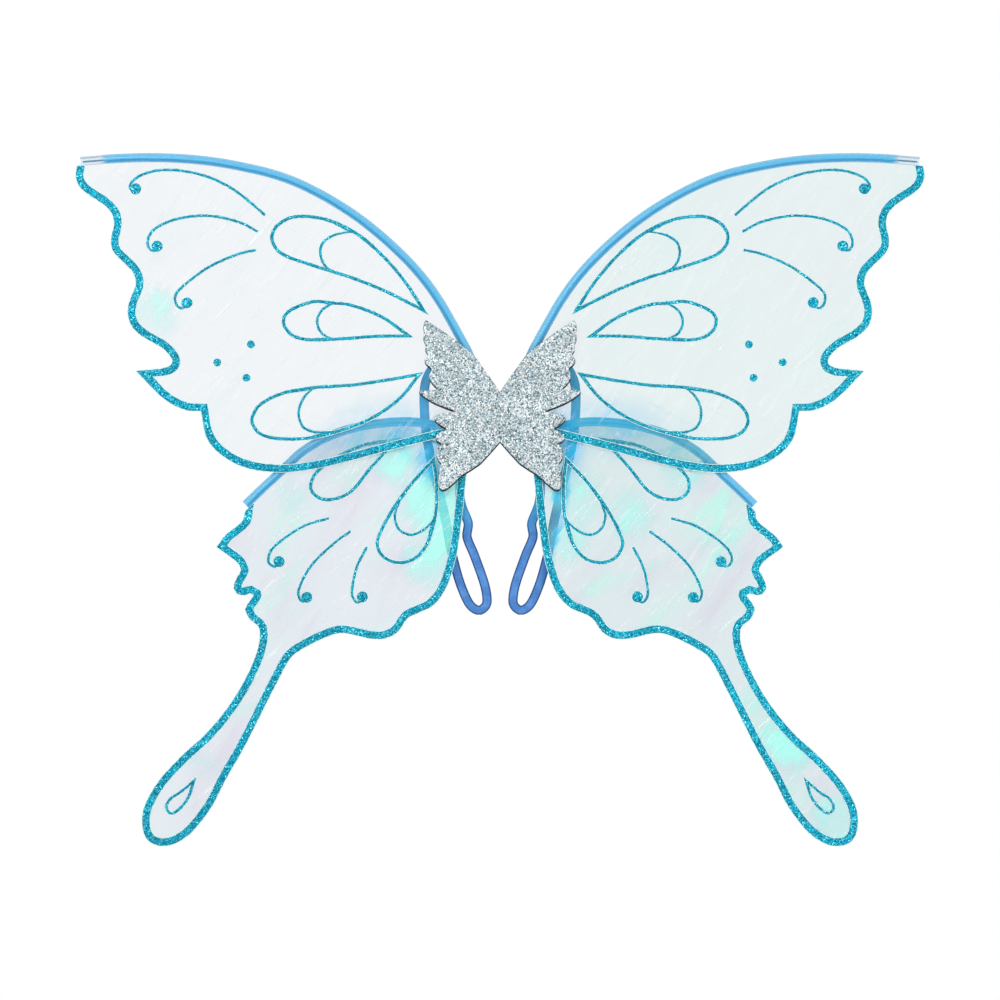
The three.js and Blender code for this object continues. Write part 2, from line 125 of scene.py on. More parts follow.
def front_loops(node, facing=0.9):
    """The closed edges of a node's front faces, longest first."""
    mesh = nodes[node].data
    side = side_of(node)
    places = [tuple(round(c, 6) for c in vertex.co) for vertex in mesh.vertices]
    edges = set()
    for face in mesh.polygons:
        if face.normal.y > -facing:
            continue
        ring = [places[i] for i in face.vertices]
        edges.update(zip(ring, ring[1:] + ring[:1]))
    follow = {a: b for a, b in edges if (b, a) not in edges}
    loops = []
    while follow:
        start = min(follow)
        ring = [start]
        point = follow.pop(start)
        while point != start:
            ring.append(point)
            point = follow.pop(point)
        loops.append([Vector((side * x, y, z)) for x, y, z in ring])
    return sorted(loops, key=path_length, reverse=True)


def path_length(path):
    return sum((b - a).length for a, b in zip(path, path[1:]))


def signed_area(loop):
    """Positive for a loop that runs anticlockwise in outboard and up."""
    total = 0.0
    for a, b in zip(loop, loop[1:] + loop[:1]):
        total += a.x * b.z - b.x * a.z
    return total / 2


def turned(loop, anticlockwise):
    return loop if (signed_area(loop) > 0) == anticlockwise else loop[::-1]


def turn_at(a, b, c):
    return (flat(b) - flat(a)).angle(flat(c) - flat(b), 0.0)


def spline(points, step, ring=False):
    """Points about a step apart on a centripetal curve through the given ones."""
    if ring:
        points = [points[-1]] + points + points[:2]
    else:
        points = [points[0] * 2 - points[1]] + points + [points[-1] * 2 - points[-2]]
    result = []
    for p0, p1, p2, p3 in zip(points, points[1:], points[2:], points[3:]):
        t1 = max((p1 - p0).length, 1e-9) ** 0.5
        t2 = t1 + max((p2 - p1).length, 1e-9) ** 0.5
        t3 = t2 + max((p3 - p2).length, 1e-9) ** 0.5
        count = max(1, round((p2 - p1).length / step))
        for i in range(count):
            t = t1 + (t2 - t1) * i / count
            a1 = p0.lerp(p1, t / t1)
            a2 = p1.lerp(p2, (t - t1) / (t2 - t1))
            a3 = p2.lerp(p3, (t - t2) / (t3 - t2))
            b1 = a1.lerp(a2, t / t2)
            b2 = a2.lerp(a3, (t - t1) / (t3 - t1))
            result.append(b1.lerp(b2, (t - t1) / (t2 - t1)))
    if not ring:
        result.append(points[-2])
    return result


def smooth(points, step, closed=False):
    """The path with smooth stretches between its true corners."""
    count = len(points)
    inner = range(count) if closed else range(1, count - 1)
    corners = [i for i in inner if turn_at(points[i - 1], points[i], points[(i + 1) % count]) > CORNER]
    if closed and not corners:
        return spline(points, step, ring=True)
    if closed:
        points = points[corners[0]:] + points[:corners[0]] + [points[corners[0]]]
        corners = [i - corners[0] for i in corners[1:]]
    cuts = [0] + corners + [len(points) - 1]
    result = []
    for start, end in zip(cuts, cuts[1:]):
        result += spline(points[start:end + 1], step)[:-1]
    return result if closed else result + [points[-1]]


def moved(path, distance, closed=False, sharpest=0.45):
    """The path moved sideways, to the left of its direction for a positive distance."""
    count = len(path)
    result = []
    for i, point in enumerate(path):
        into = flat(point) - flat(path[i - 1]) if closed or i else None
        out = flat(path[(i + 1) % count]) - flat(point) if closed or i < count - 1 else None
        into = (into if into is not None else out).normalized()
        out = (out if out is not None else into).normalized()
        across = Vector((-(into.y + out.y), into.x + out.x)).normalized()
        reach = distance / max(across.x * -into.y + across.y * into.x, sharpest)
        result.append(point + Vector((across.x * reach, 0, across.y * reach)))
    return result


def strip_sides(loop, near):
    """The two long sides of a strip's outline, each from the end that lies nearer to a point."""
    count = len(loop)
    half = count // 2

    def sides(start):
        one = [loop[(start + i) % count] for i in range(half)]
        return one, [loop[(start - 1 - i) % count] for i in range(half)]

    def spread(start):
        return sum((a - b).length for a, b in zip(*sides(start)))

    one, other = sides(min(range(count), key=spread))
    if (one[-1] - near).length < (one[0] - near).length:
        one, other = one[::-1], other[::-1]
    return one, other


def ridge(node):
    """The middle line of a tube that lies along the film, from its outboard end."""
    side = side_of(node)
    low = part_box(node)[0].y
    found = {}
    for vertex in nodes[node].data.vertices:
        if vertex.co.y < low + 0.02 * MM:
            found[tuple(round(c, 5) for c in vertex.co)] = Vector((side * vertex.co.x, 0, vertex.co.z))
    points = list(found.values())
    path = [max(points, key=lambda p: p.x)]
    points.remove(path[0])
    while points:
        path.append(min(points, key=lambda p: (p - path[-1]).length))
        points.remove(path[-1])
    return path


def inside(points, loops):
    """Which of the (outboard, up) points lie inside the loops, by the even-odd rule."""
    points = np.array(points).reshape(-1, 2)
    result = np.zeros(len(points), bool)
    for loop in loops:
        ring = np.array([(p.x, p.z) for p in loop])
        for (ax, ay), (bx, by) in zip(ring, np.roll(ring, -1, 0)):
            if ay == by:
                continue
            crossed = (ay > points[:, 1]) != (by > points[:, 1])
            result ^= crossed & (points[:, 0] < ax + (points[:, 1] - ay) * (bx - ax) / (by - ay))
    return result


def tree_of(points):
    """A tree that finds the nearest of the points, in outboard and up."""
    tree = KDTree(len(points))
    for i, p in enumerate(points):
        tree.insert((p.x, 0, p.z), i)
    tree.balance()
    return tree


def clear_inside(grid, loop, edge_tree, clearance):
    """The grid's (outboard, up) points that lie inside the loop and clear of its edge."""
    return [
        spot for spot, within in zip(grid, inside(grid, [loop]))
        if within and edge_tree.find((spot[0], 0, spot[1]))[2] > clearance
    ]


def subdivided(loop, step):
    """The loop with points about a step apart along its straight edges."""
    result = []
    for p, after in zip(loop, loop[1:] + loop[:1]):
        steps = max(1, round((after - p).length / step))
        result += [p.lerp(after, k / steps) for k in range(steps)]
    return result


def middle_depth(node):
    low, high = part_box(node)
    return (low.y + high.y) / 2


# ---- How the film ripples ----------------------------------------------------------------------------

sleeve_paths = {
    (word, wing): spline(ridge(f"{word}_{wing}_casing"), 3 * MM) for word in SIDES for wing in WINGS
}
wire_tree = tree_of(
    [Vector((SIDES[word] * p.x, 0, p.z)) for (word, _), path in sleeve_paths.items() for p in path]
)


def ripple(side, point):
    """How far the film and what is printed on it stand behind their flat plane here.

    The film is taut along the wires and waves more the further it hangs from them.
    """
    settings = bpy.context.scene.fairy_wings.film
    place = Vector((side * point.x, 0, point.z))
    slack = smoothstep(8 * MM, 90 * MM, wire_tree.find(place)[2])
    broad = noise.noise(place * 11 + Vector((3.1, 0, 7.7)))
    fine = noise.noise(place * 31 + Vector((9.4, 0, 1.3)))
    spokes = math.sin(26 * math.atan2(place.z + 0.05, abs(place.x))) * smoothstep(0.1, 0.3, place.length)
    tail = smoothstep(TAIL_TOP, cad_box[0][2], place.z)
    curl = settings.tail_curl * tail * tail
    wave = settings.ripple_height * (1.15 * broad + 0.32 * fine + 0.22 * spokes)
    return slack * wave - curl


# ---- Meshes ------------------------------------------------------------------------------------------


def turns(count):
    """Angles spaced evenly round a full turn."""
    return [2 * math.pi * k / count for k in range(count)]


def quads(start, count, offset):
    """Faces that join a ring of points to the ring whose points are numbered an offset higher."""
    pairs = [(start + i, start + (i + 1) % count) for i in range(count)]
    return [(a, b, b + offset, a + offset) for a, b in pairs]


def stack(start, count, rings):
    """Faces up a stack of rings of count points each."""
    return [face for ring in range(rings - 1) for face in quads(start + ring * count, count, count)]


def caps(start, end, count):
    """The two faces that close a stack of rings, whose points are numbered from start up to end."""
    return [tuple(range(start, start + count)), tuple(range(end - count, end))]


def make_piece(name, vertices, faces, materials):
    """A smoothly shaded mesh object of the given materials."""
    mesh = bpy.data.meshes.new(name)
    mesh.from_pydata([tuple(v) for v in vertices], [], faces)
    mesh.validate()
    for material in materials:
        mesh.materials.append(material)
    mesh.polygons.foreach_set("use_smooth", [True] * len(mesh.polygons))
    piece = bpy.data.objects.new(name, mesh)
    bpy.context.scene.collection.objects.link(piece)
    return piece


def turn_outwards(piece):
    """Makes the faces of a closed mesh point out of it."""
    work = bmesh.new()
    work.from_mesh(piece.data)
    bmesh.ops.recalc_face_normals(work, faces=work.faces)
    work.to_mesh(piece.data)
    work.free()


def keep_edges(piece, degrees):
    """Shows the edges that turn by more than an angle as sharp ones."""
    piece.data.set_sharp_from_angle(angle=math.radians(degrees))


def store(piece, name, values):
    """Keeps one number for each vertex, which the piece's material reads by name."""
    attribute = piece.data.attributes.new(name, "FLOAT", "POINT")
    attribute.data.foreach_set("value", values)


def settle(piece, body, slot, *replaced):
    """Puts a finished piece on its body, in the place of the frame's nodes; its finish (the slot) is not
    used.
    """
    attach(piece, body)
    if replaced:
        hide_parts(*replaced)


def filled(loops, extra=()):
    """Triangles that fill the loops, holes left open, as (points, triangles).

    The points are the loops' own in order, then the extra ones.
    """
    points = [flat(p) for loop in loops for p in loop] + [Vector(p) for p in extra]
    edges = []
    start = 0
    for loop in loops:
        count = len(loop)
        edges += [(start + i, start + (i + 1) % count) for i in range(count)]
        start += count
    made, _, triangles, origins, _, _ = delaunay_2d_cdt(points, edges, [], 0, 1e-8)
    if not triangles:
        raise RuntimeError("an outline could not be filled")
    centres = [sum((made[i] for i in triangle), Vector((0, 0))) / 3 for triangle in triangles]
    kept = inside([tuple(c) for c in centres], loops)
    index = [origin[0] if origin else None for origin in origins]
    extras = {}
    result = []
    for triangle, keep in zip(triangles, kept):
        if not keep:
            continue
        corners = []
        for i in triangle:
            if index[i] is None:
                extras.setdefault(i, len(points) + len(extras))
            corners.append(extras[i] if index[i] is None else index[i])
        if len(set(corners)) == 3:
            result.append(corners)
    points += [made[i] for i in extras]
    return points, result


def ragged(loop, reach, scale=900):
    """The outline with the small waver of an edge that was spread by hand."""
    ahead = moved(loop, 1.0, closed=True, sharpest=1.0)
    return [
        p + (a - p) * reach * noise.noise(Vector((p.x * scale, 0.5, p.z * scale)))
        for p, a in zip(loop, ahead)
    ]


def raised(name, loops, side, levels, materials, lift=ripple, band_of=None, rims=None):
    """A flat closed piece built up from its outline in levels of (inset, depth, slide up).

    The loops start with the outer one. The first level is the rear face and the last the front.
    Each level's rim is a number kept for its points, which tells the material how near the edge is.
    """
    loops = [turned(loop, i == 0) for i, loop in enumerate(loops)]
    size = sum(len(loop) for loop in loops)
    vertices, faces, bands, nearness = [], [], [], []
    rings = []
    rims = rims or [0.0] * len(levels)
    for (inset, depth, slide), rim in zip(levels, rims):
        ring = [moved(loop, inset, closed=True) if inset else loop for loop in loops]
        rings.append(ring)
        for loop in ring:
            for p in loop:
                vertices.append((side * p.x, depth + lift(side, p), p.z + slide))
                nearness.append(rim)
    for level in range(len(levels) - 1):
        start = level * size
        for loop in loops:
            faces += quads(start, len(loop), size)
            bands += [level] * len(loop)
            start += len(loop)
    for level in (0, len(levels) - 1):
        points, triangles = filled(rings[level])
        _, depth, slide = levels[level]
        for p in points[size:]:
            place = Vector((p.x, 0, p.y))
            vertices.append((side * p.x, depth + lift(side, place), p.y + slide))
            nearness.append(rims[level])
        beyond = len(vertices) - len(points)
        offset = level * size
        faces += [tuple(i + (offset if i < size else beyond) for i in t) for t in triangles]
        bands += [level] * len(triangles)
    piece = make_piece(name, vertices, faces, materials)
    store(piece, "rim", nearness)
    if band_of:
        piece.data.polygons.foreach_set("material_index", [band_of(band) for band in bands])
    turn_outwards(piece)
    keep_edges(piece, 50)
    return piece


def no_lift(side, point):
    return 0.0


def slab_levels(low, high, bevel):
    """Levels of a flat slab between two depths, with its edges rounded off."""
    thick = high - low
    return [
        (bevel, high, 0.0),
        (0.0, high - 0.3 * thick, 0.0),
        (0.0, high - 0.7 * thick, 0.0),
        (bevel, low, 0.0),
    ]


# ---- Nodes of the materials --------------------------------------------------------------------------


def give(tree, socket, value):
    """Links an input to another socket, or sets its plain value. A colour is given full alpha."""
    if isinstance(value, bpy.types.NodeSocket):
        tree.links.new(value, socket)
    elif socket.type == "RGBA":
        socket.default_value = (*value[:3], 1.0)
    else:
        socket.default_value = value


def add_node(tree, kind, inputs=None, **settings):
    """A node with its settings, and its inputs by name or number."""
    node = tree.nodes.new(kind)
    for key, value in settings.items():
        setattr(node, key, value)
    for key, value in (inputs or {}).items():
        give(tree, node.inputs[key], value)
    return node


def maths(tree, operation, a, b=0.0, clamp=False):
    return add_node(tree, "ShaderNodeMath", {0: a, 1: b}, operation=operation, use_clamp=clamp).outputs[0]


def added(tree, base, more, share, clamp=False):
    """The base plus a share of something more."""
    return maths(tree, "ADD", base, maths(tree, "MULTIPLY", more, share), clamp)


def vectors(tree, operation, inputs):
    return add_node(tree, "ShaderNodeVectorMath", inputs, operation=operation).outputs[0]


def remapped(tree, value, low, high, to_low=0.0, to_high=1.0, kind="SMOOTHSTEP"):
    inputs = {"Value": value, "From Min": low, "From Max": high, "To Min": to_low, "To Max": to_high}
    return add_node(tree, "ShaderNodeMapRange", inputs, interpolation_type=kind).outputs[0]


def blended(tree, share, a, b, blend_type="MIX"):
    node = add_node(tree, "ShaderNodeMix", {0: share, 6: a, 7: b}, data_type="RGBA", blend_type=blend_type)
    return node.outputs[2]


def object_place(tree, scale=(1, 1, 1)):
    coordinates = add_node(tree, "ShaderNodeTexCoord").outputs["Object"]
    return add_node(tree, "ShaderNodeMapping", {"Vector": coordinates, "Scale": scale}).outputs[0]


def noise_of(tree, place, scale, detail=3.0, roughness=0.5, distortion=0.0):
    inputs = {
        "Vector": place,
        "Scale": scale,
        "Detail": detail,
        "Roughness": roughness,
        "Distortion": distortion,
    }
    return add_node(tree, "ShaderNodeTexNoise", inputs).outputs[0]


def stored(tree, name):
    return add_node(tree, "ShaderNodeAttribute", attribute_name=name).outputs["Fac"]


def make_group(name, inputs, outputs, build):
    """A node group with named sockets, made once. build(tree, sockets in) returns the sockets out."""
    if name in bpy.data.node_groups:
        return bpy.data.node_groups[name]
    tree = bpy.data.node_groups.new(name, "ShaderNodeTree")
    for label, kind, default in inputs:
        socket = tree.interface.new_socket(label, in_out="INPUT", socket_type=kind)
        socket.default_value = default
    for label, kind in outputs:
        tree.interface.new_socket(label, in_out="OUTPUT", socket_type=kind)
    entry = tree.nodes.new("NodeGroupInput")
    leaving = tree.nodes.new("NodeGroupOutput")
    made = build(tree, entry.outputs)
    for label, _ in outputs:
        tree.links.new(made[label], leaving.inputs[label])
    return tree


def place_group(tree, group, inputs):
    return add_node(tree, "ShaderNodeGroup", inputs, node_tree=group).outputs


FLOAT, TINT, VECTOR = "NodeSocketFloat", "NodeSocketColor", "NodeSocketVector"


def glitter_group():
    """Flakes that each lie at their own tilt and catch the light in their own tone."""

    def build(tree, given):
        place = object_place(tree)
        size = maths(tree, "DIVIDE", 1.0, given["Flake Size"])
        flakes = add_node(tree, "ShaderNodeTexVoronoi", {"Vector": place, "Scale": size})
        parts = add_node(tree, "ShaderNodeSeparateColor", {0: flakes.outputs["Color"]}).outputs
        tone = remapped(tree, parts[0], 0.05, 0.75)
        body = blended(tree, tone, given["Shadow"], given["Body"])
        edge = maths(tree, "SUBTRACT", 1.0, given["Spark Share"])
        above = maths(tree, "SUBTRACT", parts[1], edge)
        spark = maths(tree, "MULTIPLY", above, 12.0, clamp=True)
        lit = blended(tree, spark, body, given["Spark"])
        tinted = blended(tree, given["Rainbow"], lit, flakes.outputs["Color"], blend_type="OVERLAY")
        patches = noise_of(tree, place, 60.0, detail=2.0)
        worn = remapped(tree, patches, 0.3, 0.7, 0.86, 1.1)
        from_rim = maths(tree, "SUBTRACT", 1.0, maths(tree, "MULTIPLY", given["Rim"], 0.42))
        shaded = vectors(tree, "MULTIPLY", {0: tinted, 1: maths(tree, "MULTIPLY", worn, from_rim)})
        centred = vectors(tree, "SUBTRACT", {0: flakes.outputs["Color"], 1: (0.5, 0.5, 0.5)})
        scaled = vectors(tree, "SCALE", {0: centred, 3: given["Tilt"]})
        normal = add_node(tree, "ShaderNodeNewGeometry").outputs["Normal"]
        unit = vectors(tree, "NORMALIZE", {0: vectors(tree, "ADD", {0: normal, 1: scaled})})
        rough = remapped(tree, parts[2], 0.0, 1.0, 0.5, 0.2)
        return {"Color": shaded, "Roughness": rough, "Normal": unit}

    inputs = [
        ("Flake Size", FLOAT, 0.0008),
        ("Body", TINT, (0.1, 0.5, 0.6, 1)),
        ("Shadow", TINT, (0.02, 0.2, 0.3, 1)),
        ("Spark", TINT, (0.6, 0.9, 1, 1)),
        ("Spark Share", FLOAT, 0.15),
        ("Rainbow", FLOAT, 0.0),
        ("Tilt", FLOAT, 0.5),
        ("Rim", FLOAT, 0.0),
    ]
    outputs = [("Color", TINT), ("Roughness", FLOAT), ("Normal", VECTOR)]
    return make_group("Glitter flakes", inputs, outputs, build)


def streaks(tree, place, angle, along, across, low, high):
    """Narrow marks that run at an angle over the film, as a number from 0 to 1."""
    turn = {"Vector": place, "Angle": angle}
    spun = add_node(tree, "ShaderNodeVectorRotate", turn, rotation_type="Y_AXIS").outputs[0]
    drawn = add_node(tree, "ShaderNodeMapping", {"Vector": spun, "Scale": (along, along, across)}).outputs[0]
    lines = noise_of(tree, drawn, 1.0, detail=3.0, roughness=0.55, distortion=0.35)
    return remapped(tree, lines, low, high)


def pearl_group():
    """Clear film with a faint pearl sheen, creases that carry painted white highlights, and brighter patches
    of painted sheen.
    """

    def build(tree, given):
        place = object_place(tree)
        brushed = streaks(tree, place, 0.95, 14.0, 60.0, 0.4, 0.62)
        cool_bands = streaks(tree, place, 0.95, 6.0, 19.0, 0.44, 0.68)
        green_bands = streaks(tree, place, 0.75, 7.0, 21.0, 0.47, 0.68)
        lilac_share = maths(tree, "MULTIPLY", cool_bands, given["Pastel"])
        lilac = maths(tree, "MULTIPLY", lilac_share, remapped(tree, brushed, 0.0, 1.0, 0.35, 0.6))
        tinted = blended(tree, lilac, given["Body"], given["Lilac"])
        mint_share = maths(tree, "MULTIPLY", green_bands, given["Pastel"])
        mint = maths(tree, "MULTIPLY", mint_share, remapped(tree, brushed, 0.0, 1.0, 0.35, 0.95))
        minted = blended(tree, mint, tinted, given["Mint"])
        crumple = noise_of(tree, place, 26.0, detail=3.0, roughness=0.5, distortion=0.7)
        facet = remapped(tree, crumple, 0.36, 0.64)
        slanted = added(tree, maths(tree, "MULTIPLY", facet, 0.55), brushed, 0.45)
        uneven = added(tree, given["Sheen"], given["Sheen"], slanted)
        glow = remapped(tree, uneven, 0.12, 1.15)
        shone = blended(tree, glow, minted, given["Glare"])
        # The creases' bumps are real. Their white colour and extra opacity are painted highlights.
        crease = maths(
            tree, "MAXIMUM",
            streaks(tree, place, 0.85, 17.0, 120.0, 0.6, 0.78),
            streaks(tree, place, -0.5, 9.0, 150.0, 0.64, 0.8),
        )
        glinting_creases = blended(tree, maths(tree, "MULTIPLY", crease, 0.8), shone, given["Crease Glint"])
        body_veil = added(tree, given["Opacity"], maths(tree, "ADD", lilac, mint), 0.14)
        haze = added(tree, body_veil, crease, given["Crease Opacity"])
        veil = added(tree, haze, glow, 0.42)
        folds = maths(tree, "MULTIPLY", given["Gathered"], remapped(tree, facet, 0.0, 1.0, 0.55, 1.0))
        final = blended(tree, maths(tree, "MULTIPLY", folds, 1.7, clamp=True), glinting_creases, given["Folds"])
        thick = added(tree, veil, folds, 0.6, clamp=True)
        small = noise_of(tree, place, 160.0, detail=2.0)
        rough_height = added(tree, added(tree, brushed, crease, 0.5), small, 0.1)
        return {"Color": final, "Alpha": thick, "Height": rough_height}

    inputs = [
        ("Body", TINT, (0.2, 0.4, 0.55, 1)),
        ("Lilac", TINT, (0.3, 0.16, 0.42, 1)),
        ("Mint", TINT, (0.05, 0.8, 0.6, 1)),
        ("Glare", TINT, (0.5, 1, 0.95, 1)),
        ("Crease Glint", TINT, (1, 1, 1, 1)),
        ("Folds", TINT, (0.02, 0.35, 0.7, 1)),
        ("Sheen", FLOAT, 0.0),
        ("Gathered", FLOAT, 0.0),
        ("Opacity", FLOAT, 0.17),
        ("Pastel", FLOAT, 0.5),
        ("Crease Opacity", FLOAT, 0.4),
    ]
    outputs = [("Color", TINT), ("Alpha", FLOAT), ("Height", FLOAT)]
    return make_group("Pearl film", inputs, outputs, build)


def weave_group():
    """Elastic webbing: ribs that run lengthways, with weft threads between them."""

    def build(tree, given):
        rib = maths(tree, "MULTIPLY", given["Across"], given["Ribs"])
        weft = maths(tree, "DIVIDE", given["Along"], given["Pick Length"])
        rib_wave = maths(tree, "SINE", maths(tree, "MULTIPLY", rib, 2 * math.pi))
        shifted = maths(tree, "ADD", weft, maths(tree, "MULTIPLY", rib, 0.5))
        weft_wave = maths(tree, "SINE", maths(tree, "MULTIPLY", shifted, 2 * math.pi))
        product = maths(tree, "MULTIPLY", rib_wave, weft_wave)
        height = added(tree, maths(tree, "MULTIPLY", rib_wave, 0.6), product, 0.4)
        fuzz = noise_of(tree, object_place(tree), 900.0, detail=2.0)
        lofty = added(tree, height, fuzz, 0.8)
        stretched = noise_of(tree, object_place(tree), 85.0, detail=3.0)
        uneven = maths(tree, "ADD", lofty, remapped(tree, stretched, 0.35, 0.65, -0.35, 0.35))
        share = remapped(tree, uneven, -0.6, 1.4, kind="LINEAR")
        woven = blended(tree, share, given["Shadow"], given["Body"])
        # Painted shade: the elastic darkens towards both its edges.
        edge_shade = remapped(tree, maths(tree, "ABSOLUTE", given["Across"]), 0.58, 0.86, 0.0, 0.95)
        finished = blended(tree, edge_shade, woven, given["Edge Shade"])
        return {"Color": finished, "Height": lofty}

    inputs = [
        ("Across", FLOAT, 0.0),
        ("Along", FLOAT, 0.0),
        ("Ribs", FLOAT, 4.5),
        ("Pick Length", FLOAT, 0.0009),
        ("Body", TINT, (0.1, 0.25, 0.7, 1)),
        ("Shadow", TINT, (0.05, 0.1, 0.4, 1)),
        ("Edge Shade", TINT, (0.03, 0.08, 0.3, 1)),
    ]
    return make_group("Woven elastic", inputs, [("Color", TINT), ("Height", FLOAT)], build)


def felt_group():
    """Pressed felt: short matted fibres, with a few darker ones."""

    def build(tree, given):
        place = object_place(tree)
        matted = noise_of(tree, place, 420.0, detail=6.0, roughness=0.65, distortion=1.2)
        drawn = object_place(tree, (1.0, 1.0, 0.3))
        strands = noise_of(tree, drawn, 1300.0, detail=2.0, distortion=2.0)
        blotch = noise_of(tree, place, 45.0, detail=2.0)
        dense = remapped(tree, matted, 0.35, 0.65)
        share = maths(tree, "MULTIPLY", dense, remapped(tree, blotch, 0.2, 0.6, 0.7))
        tinted = blended(tree, share, given["Shadow"], given["Body"])
        return {"Color": tinted, "Height": added(tree, matted, strands, 0.5)}

    inputs = [("Body", TINT, (0.7, 0.75, 0.85, 1)), ("Shadow", TINT, (0.5, 0.55, 0.65, 1))]
    return make_group("Felt fibre", inputs, [("Color", TINT), ("Height", FLOAT)], build)


def wear_group():
    """Finger marks and dull patches, as a number from 0 to 1."""

    def build(tree, given):
        place = object_place(tree)
        broad = noise_of(tree, place, given["Scale"], detail=5.0, roughness=0.6)
        return {"Marks": remapped(tree, broad, 0.35, 0.7)}

    return make_group("Handling marks", [("Scale", FLOAT, 40.0)], [("Marks", FLOAT)], build)


def feed(tree, shader, **values):
    """Links or sets the shader's inputs, named here in small letters with underscores."""
    for label, value in values.items():
        give(tree, shader.inputs[label.replace("_", " ").title().replace("Ior", "IOR")], value)


def new_material(name, **values):
    """A material with its tree and its Principled shader, whose plain values are set by name."""
    material = bpy.data.materials.new(name)
    material.use_nodes = True
    tree = material.node_tree
    shader = next(node for node in tree.nodes if node.type == "BSDF_PRINCIPLED")
    feed(tree, shader, **values)
    return material, tree, shader


def bumped(tree, shader, height, strength, distance):
    bump = add_node(tree, "ShaderNodeBump", {"Height": height, "Strength": strength, "Distance": distance})
    feed(tree, shader, normal=bump.outputs[0])


def glitter_material(name, settings, metallic, rainbow=0.0, spark_share=0.16):
    material, tree, shader = new_material(name, metallic=metallic, specular_ior_level=0.35)
    inputs = {
        "Flake Size": settings.flake_size,
        "Body": settings.body,
        "Shadow": settings.shadow,
        "Spark": settings.spark,
        "Spark Share": spark_share,
        "Rainbow": rainbow,
        "Tilt": settings.tilt,
        "Rim": stored(tree, "rim"),
    }
    made = place_group(tree, glitter_group(), inputs)
    feed(tree, shader, base_color=made["Color"], roughness=made["Roughness"], normal=made["Normal"])
    return material


def glowing_glue_material():
    """The clear edge of the glue that holds the glitter, with a painted glow: its emission stands in for
    light through the glue and lightens the thin shadow round the glitter.
    """
    # Painted light: the glue glows in its own colour though it is no lamp.
    material, tree, shader = new_material("Clear glue", specular_ior_level=0.5, emission_strength=0.45)
    cloudy = noise_of(tree, object_place(tree), 320.0, detail=2.0)
    tone = blended(tree, cloudy, colour(170, 236, 242), colour(232, 252, 252))
    veil = remapped(tree, cloudy, 0.3, 0.7, 0.5, 0.8)
    rough = remapped(tree, cloudy, 0.3, 0.7, 0.15, 0.35)
    feed(tree, shader, base_color=tone, emission_color=tone, alpha=veil, roughness=rough)
    bumped(tree, shader, cloudy, 0.3, 0.0002)
    return material


def film_material(settings):
    material, tree, shader = new_material(
        "Pearl film", specular_ior_level=0.6, thin_film_thickness=420, thin_film_ior=1.5
    )
    # The teal share is a painted reflection of the room on the right wings. It also makes the film there a
    # little less clear.
    teal = stored(tree, "teal")
    clear = remapped(tree, stored(tree, "rear"), 0.0, 1.0, settings.opacity, settings.rear_opacity)
    inputs = {
        "Body": blended(tree, teal, settings.body, settings.teal),
        "Gathered": stored(tree, "gathered"),
        "Lilac": settings.lilac,
        "Mint": settings.mint,
        "Glare": settings.glare,
        # Painted highlight along the film's creases.
        "Crease Glint": colour(244, 255, 253),
        "Folds": settings.folds,
        "Sheen": stored(tree, "sheen"),
        "Opacity": added(tree, clear, teal, 0.07),
        "Pastel": remapped(tree, stored(tree, "rear"), 0.0, 1.0, 0.25, 1.0),
        "Crease Opacity": 0.35,
    }
    made = place_group(tree, pearl_group(), inputs)
    marks = place_group(tree, wear_group(), {"Scale": 30.0})["Marks"]
    rough = remapped(tree, marks, 0.0, 1.0, 0.1, 0.26)
    feed(tree, shader, base_color=made["Color"], alpha=made["Alpha"], roughness=rough)
    bumped(tree, shader, made["Height"], 0.5, 0.004)
    return material


def sleeve_material(settings):
    """Blue film, deeper beside its inner edge, pale along both and clear at its open end."""
    material, tree, shader = new_material("Blue film sleeve", specular_ior_level=0.5)
    across = stored(tree, "across")
    along = stored(tree, "along")
    cloudy = noise_of(tree, object_place(tree), 55.0, detail=3.0)
    gathered = stored(tree, "gathered")
    wavering = added(tree, across, maths(tree, "SUBTRACT", cloudy, 0.5), 0.4)
    from_crease = maths(tree, "ABSOLUTE", maths(tree, "ADD", wavering, 0.42))
    crease = remapped(tree, from_crease, 0.12, 0.5, 1.0, 0.0)
    depth = blended(tree, crease, settings.body, settings.deep)
    rim = remapped(tree, maths(tree, "ABSOLUTE", across), 0.72, 1.0)
    edged = blended(tree, rim, depth, settings.pale)
    pale = blended(tree, maths(tree, "MULTIPLY", gathered, 2.2, clamp=True), edged, settings.gathered)
    filled_share = remapped(tree, along, settings.clear_end * 0.7, settings.clear_end * 1.1)
    edge_line = blended(tree, rim, colour(170, 216, 240), colour(92, 146, 176))
    tinted = blended(tree, filled_share, edge_line, pale)
    veil = maths(tree, "ADD", maths(tree, "MULTIPLY", filled_share, 0.5), 0.28)
    rimmed = maths(tree, "MAXIMUM", veil, maths(tree, "MULTIPLY", rim, 0.5))
    marks = place_group(tree, wear_group(), {"Scale": 60.0})["Marks"]
    rough = remapped(tree, marks, 0.0, 1.0, 0.16, 0.36)
    feed(tree, shader, base_color=tinted, alpha=rimmed, roughness=rough)
    bumped(tree, shader, noise_of(tree, object_place(tree), 240.0, detail=2.0), 0.25, 0.001)
    return material


def wire_material():
    material, tree, shader = new_material("Dark wire", metallic=0.4)
    drawn = noise_of(tree, object_place(tree), 700.0, detail=3.0)
    tone = blended(tree, drawn, colour(2, 50, 78), colour(16, 92, 128))
    feed(tree, shader, base_color=tone, roughness=remapped(tree, drawn, 0.3, 0.7, 0.25, 0.5))
    bumped(tree, shader, drawn, 0.2, 0.0002)
    return material


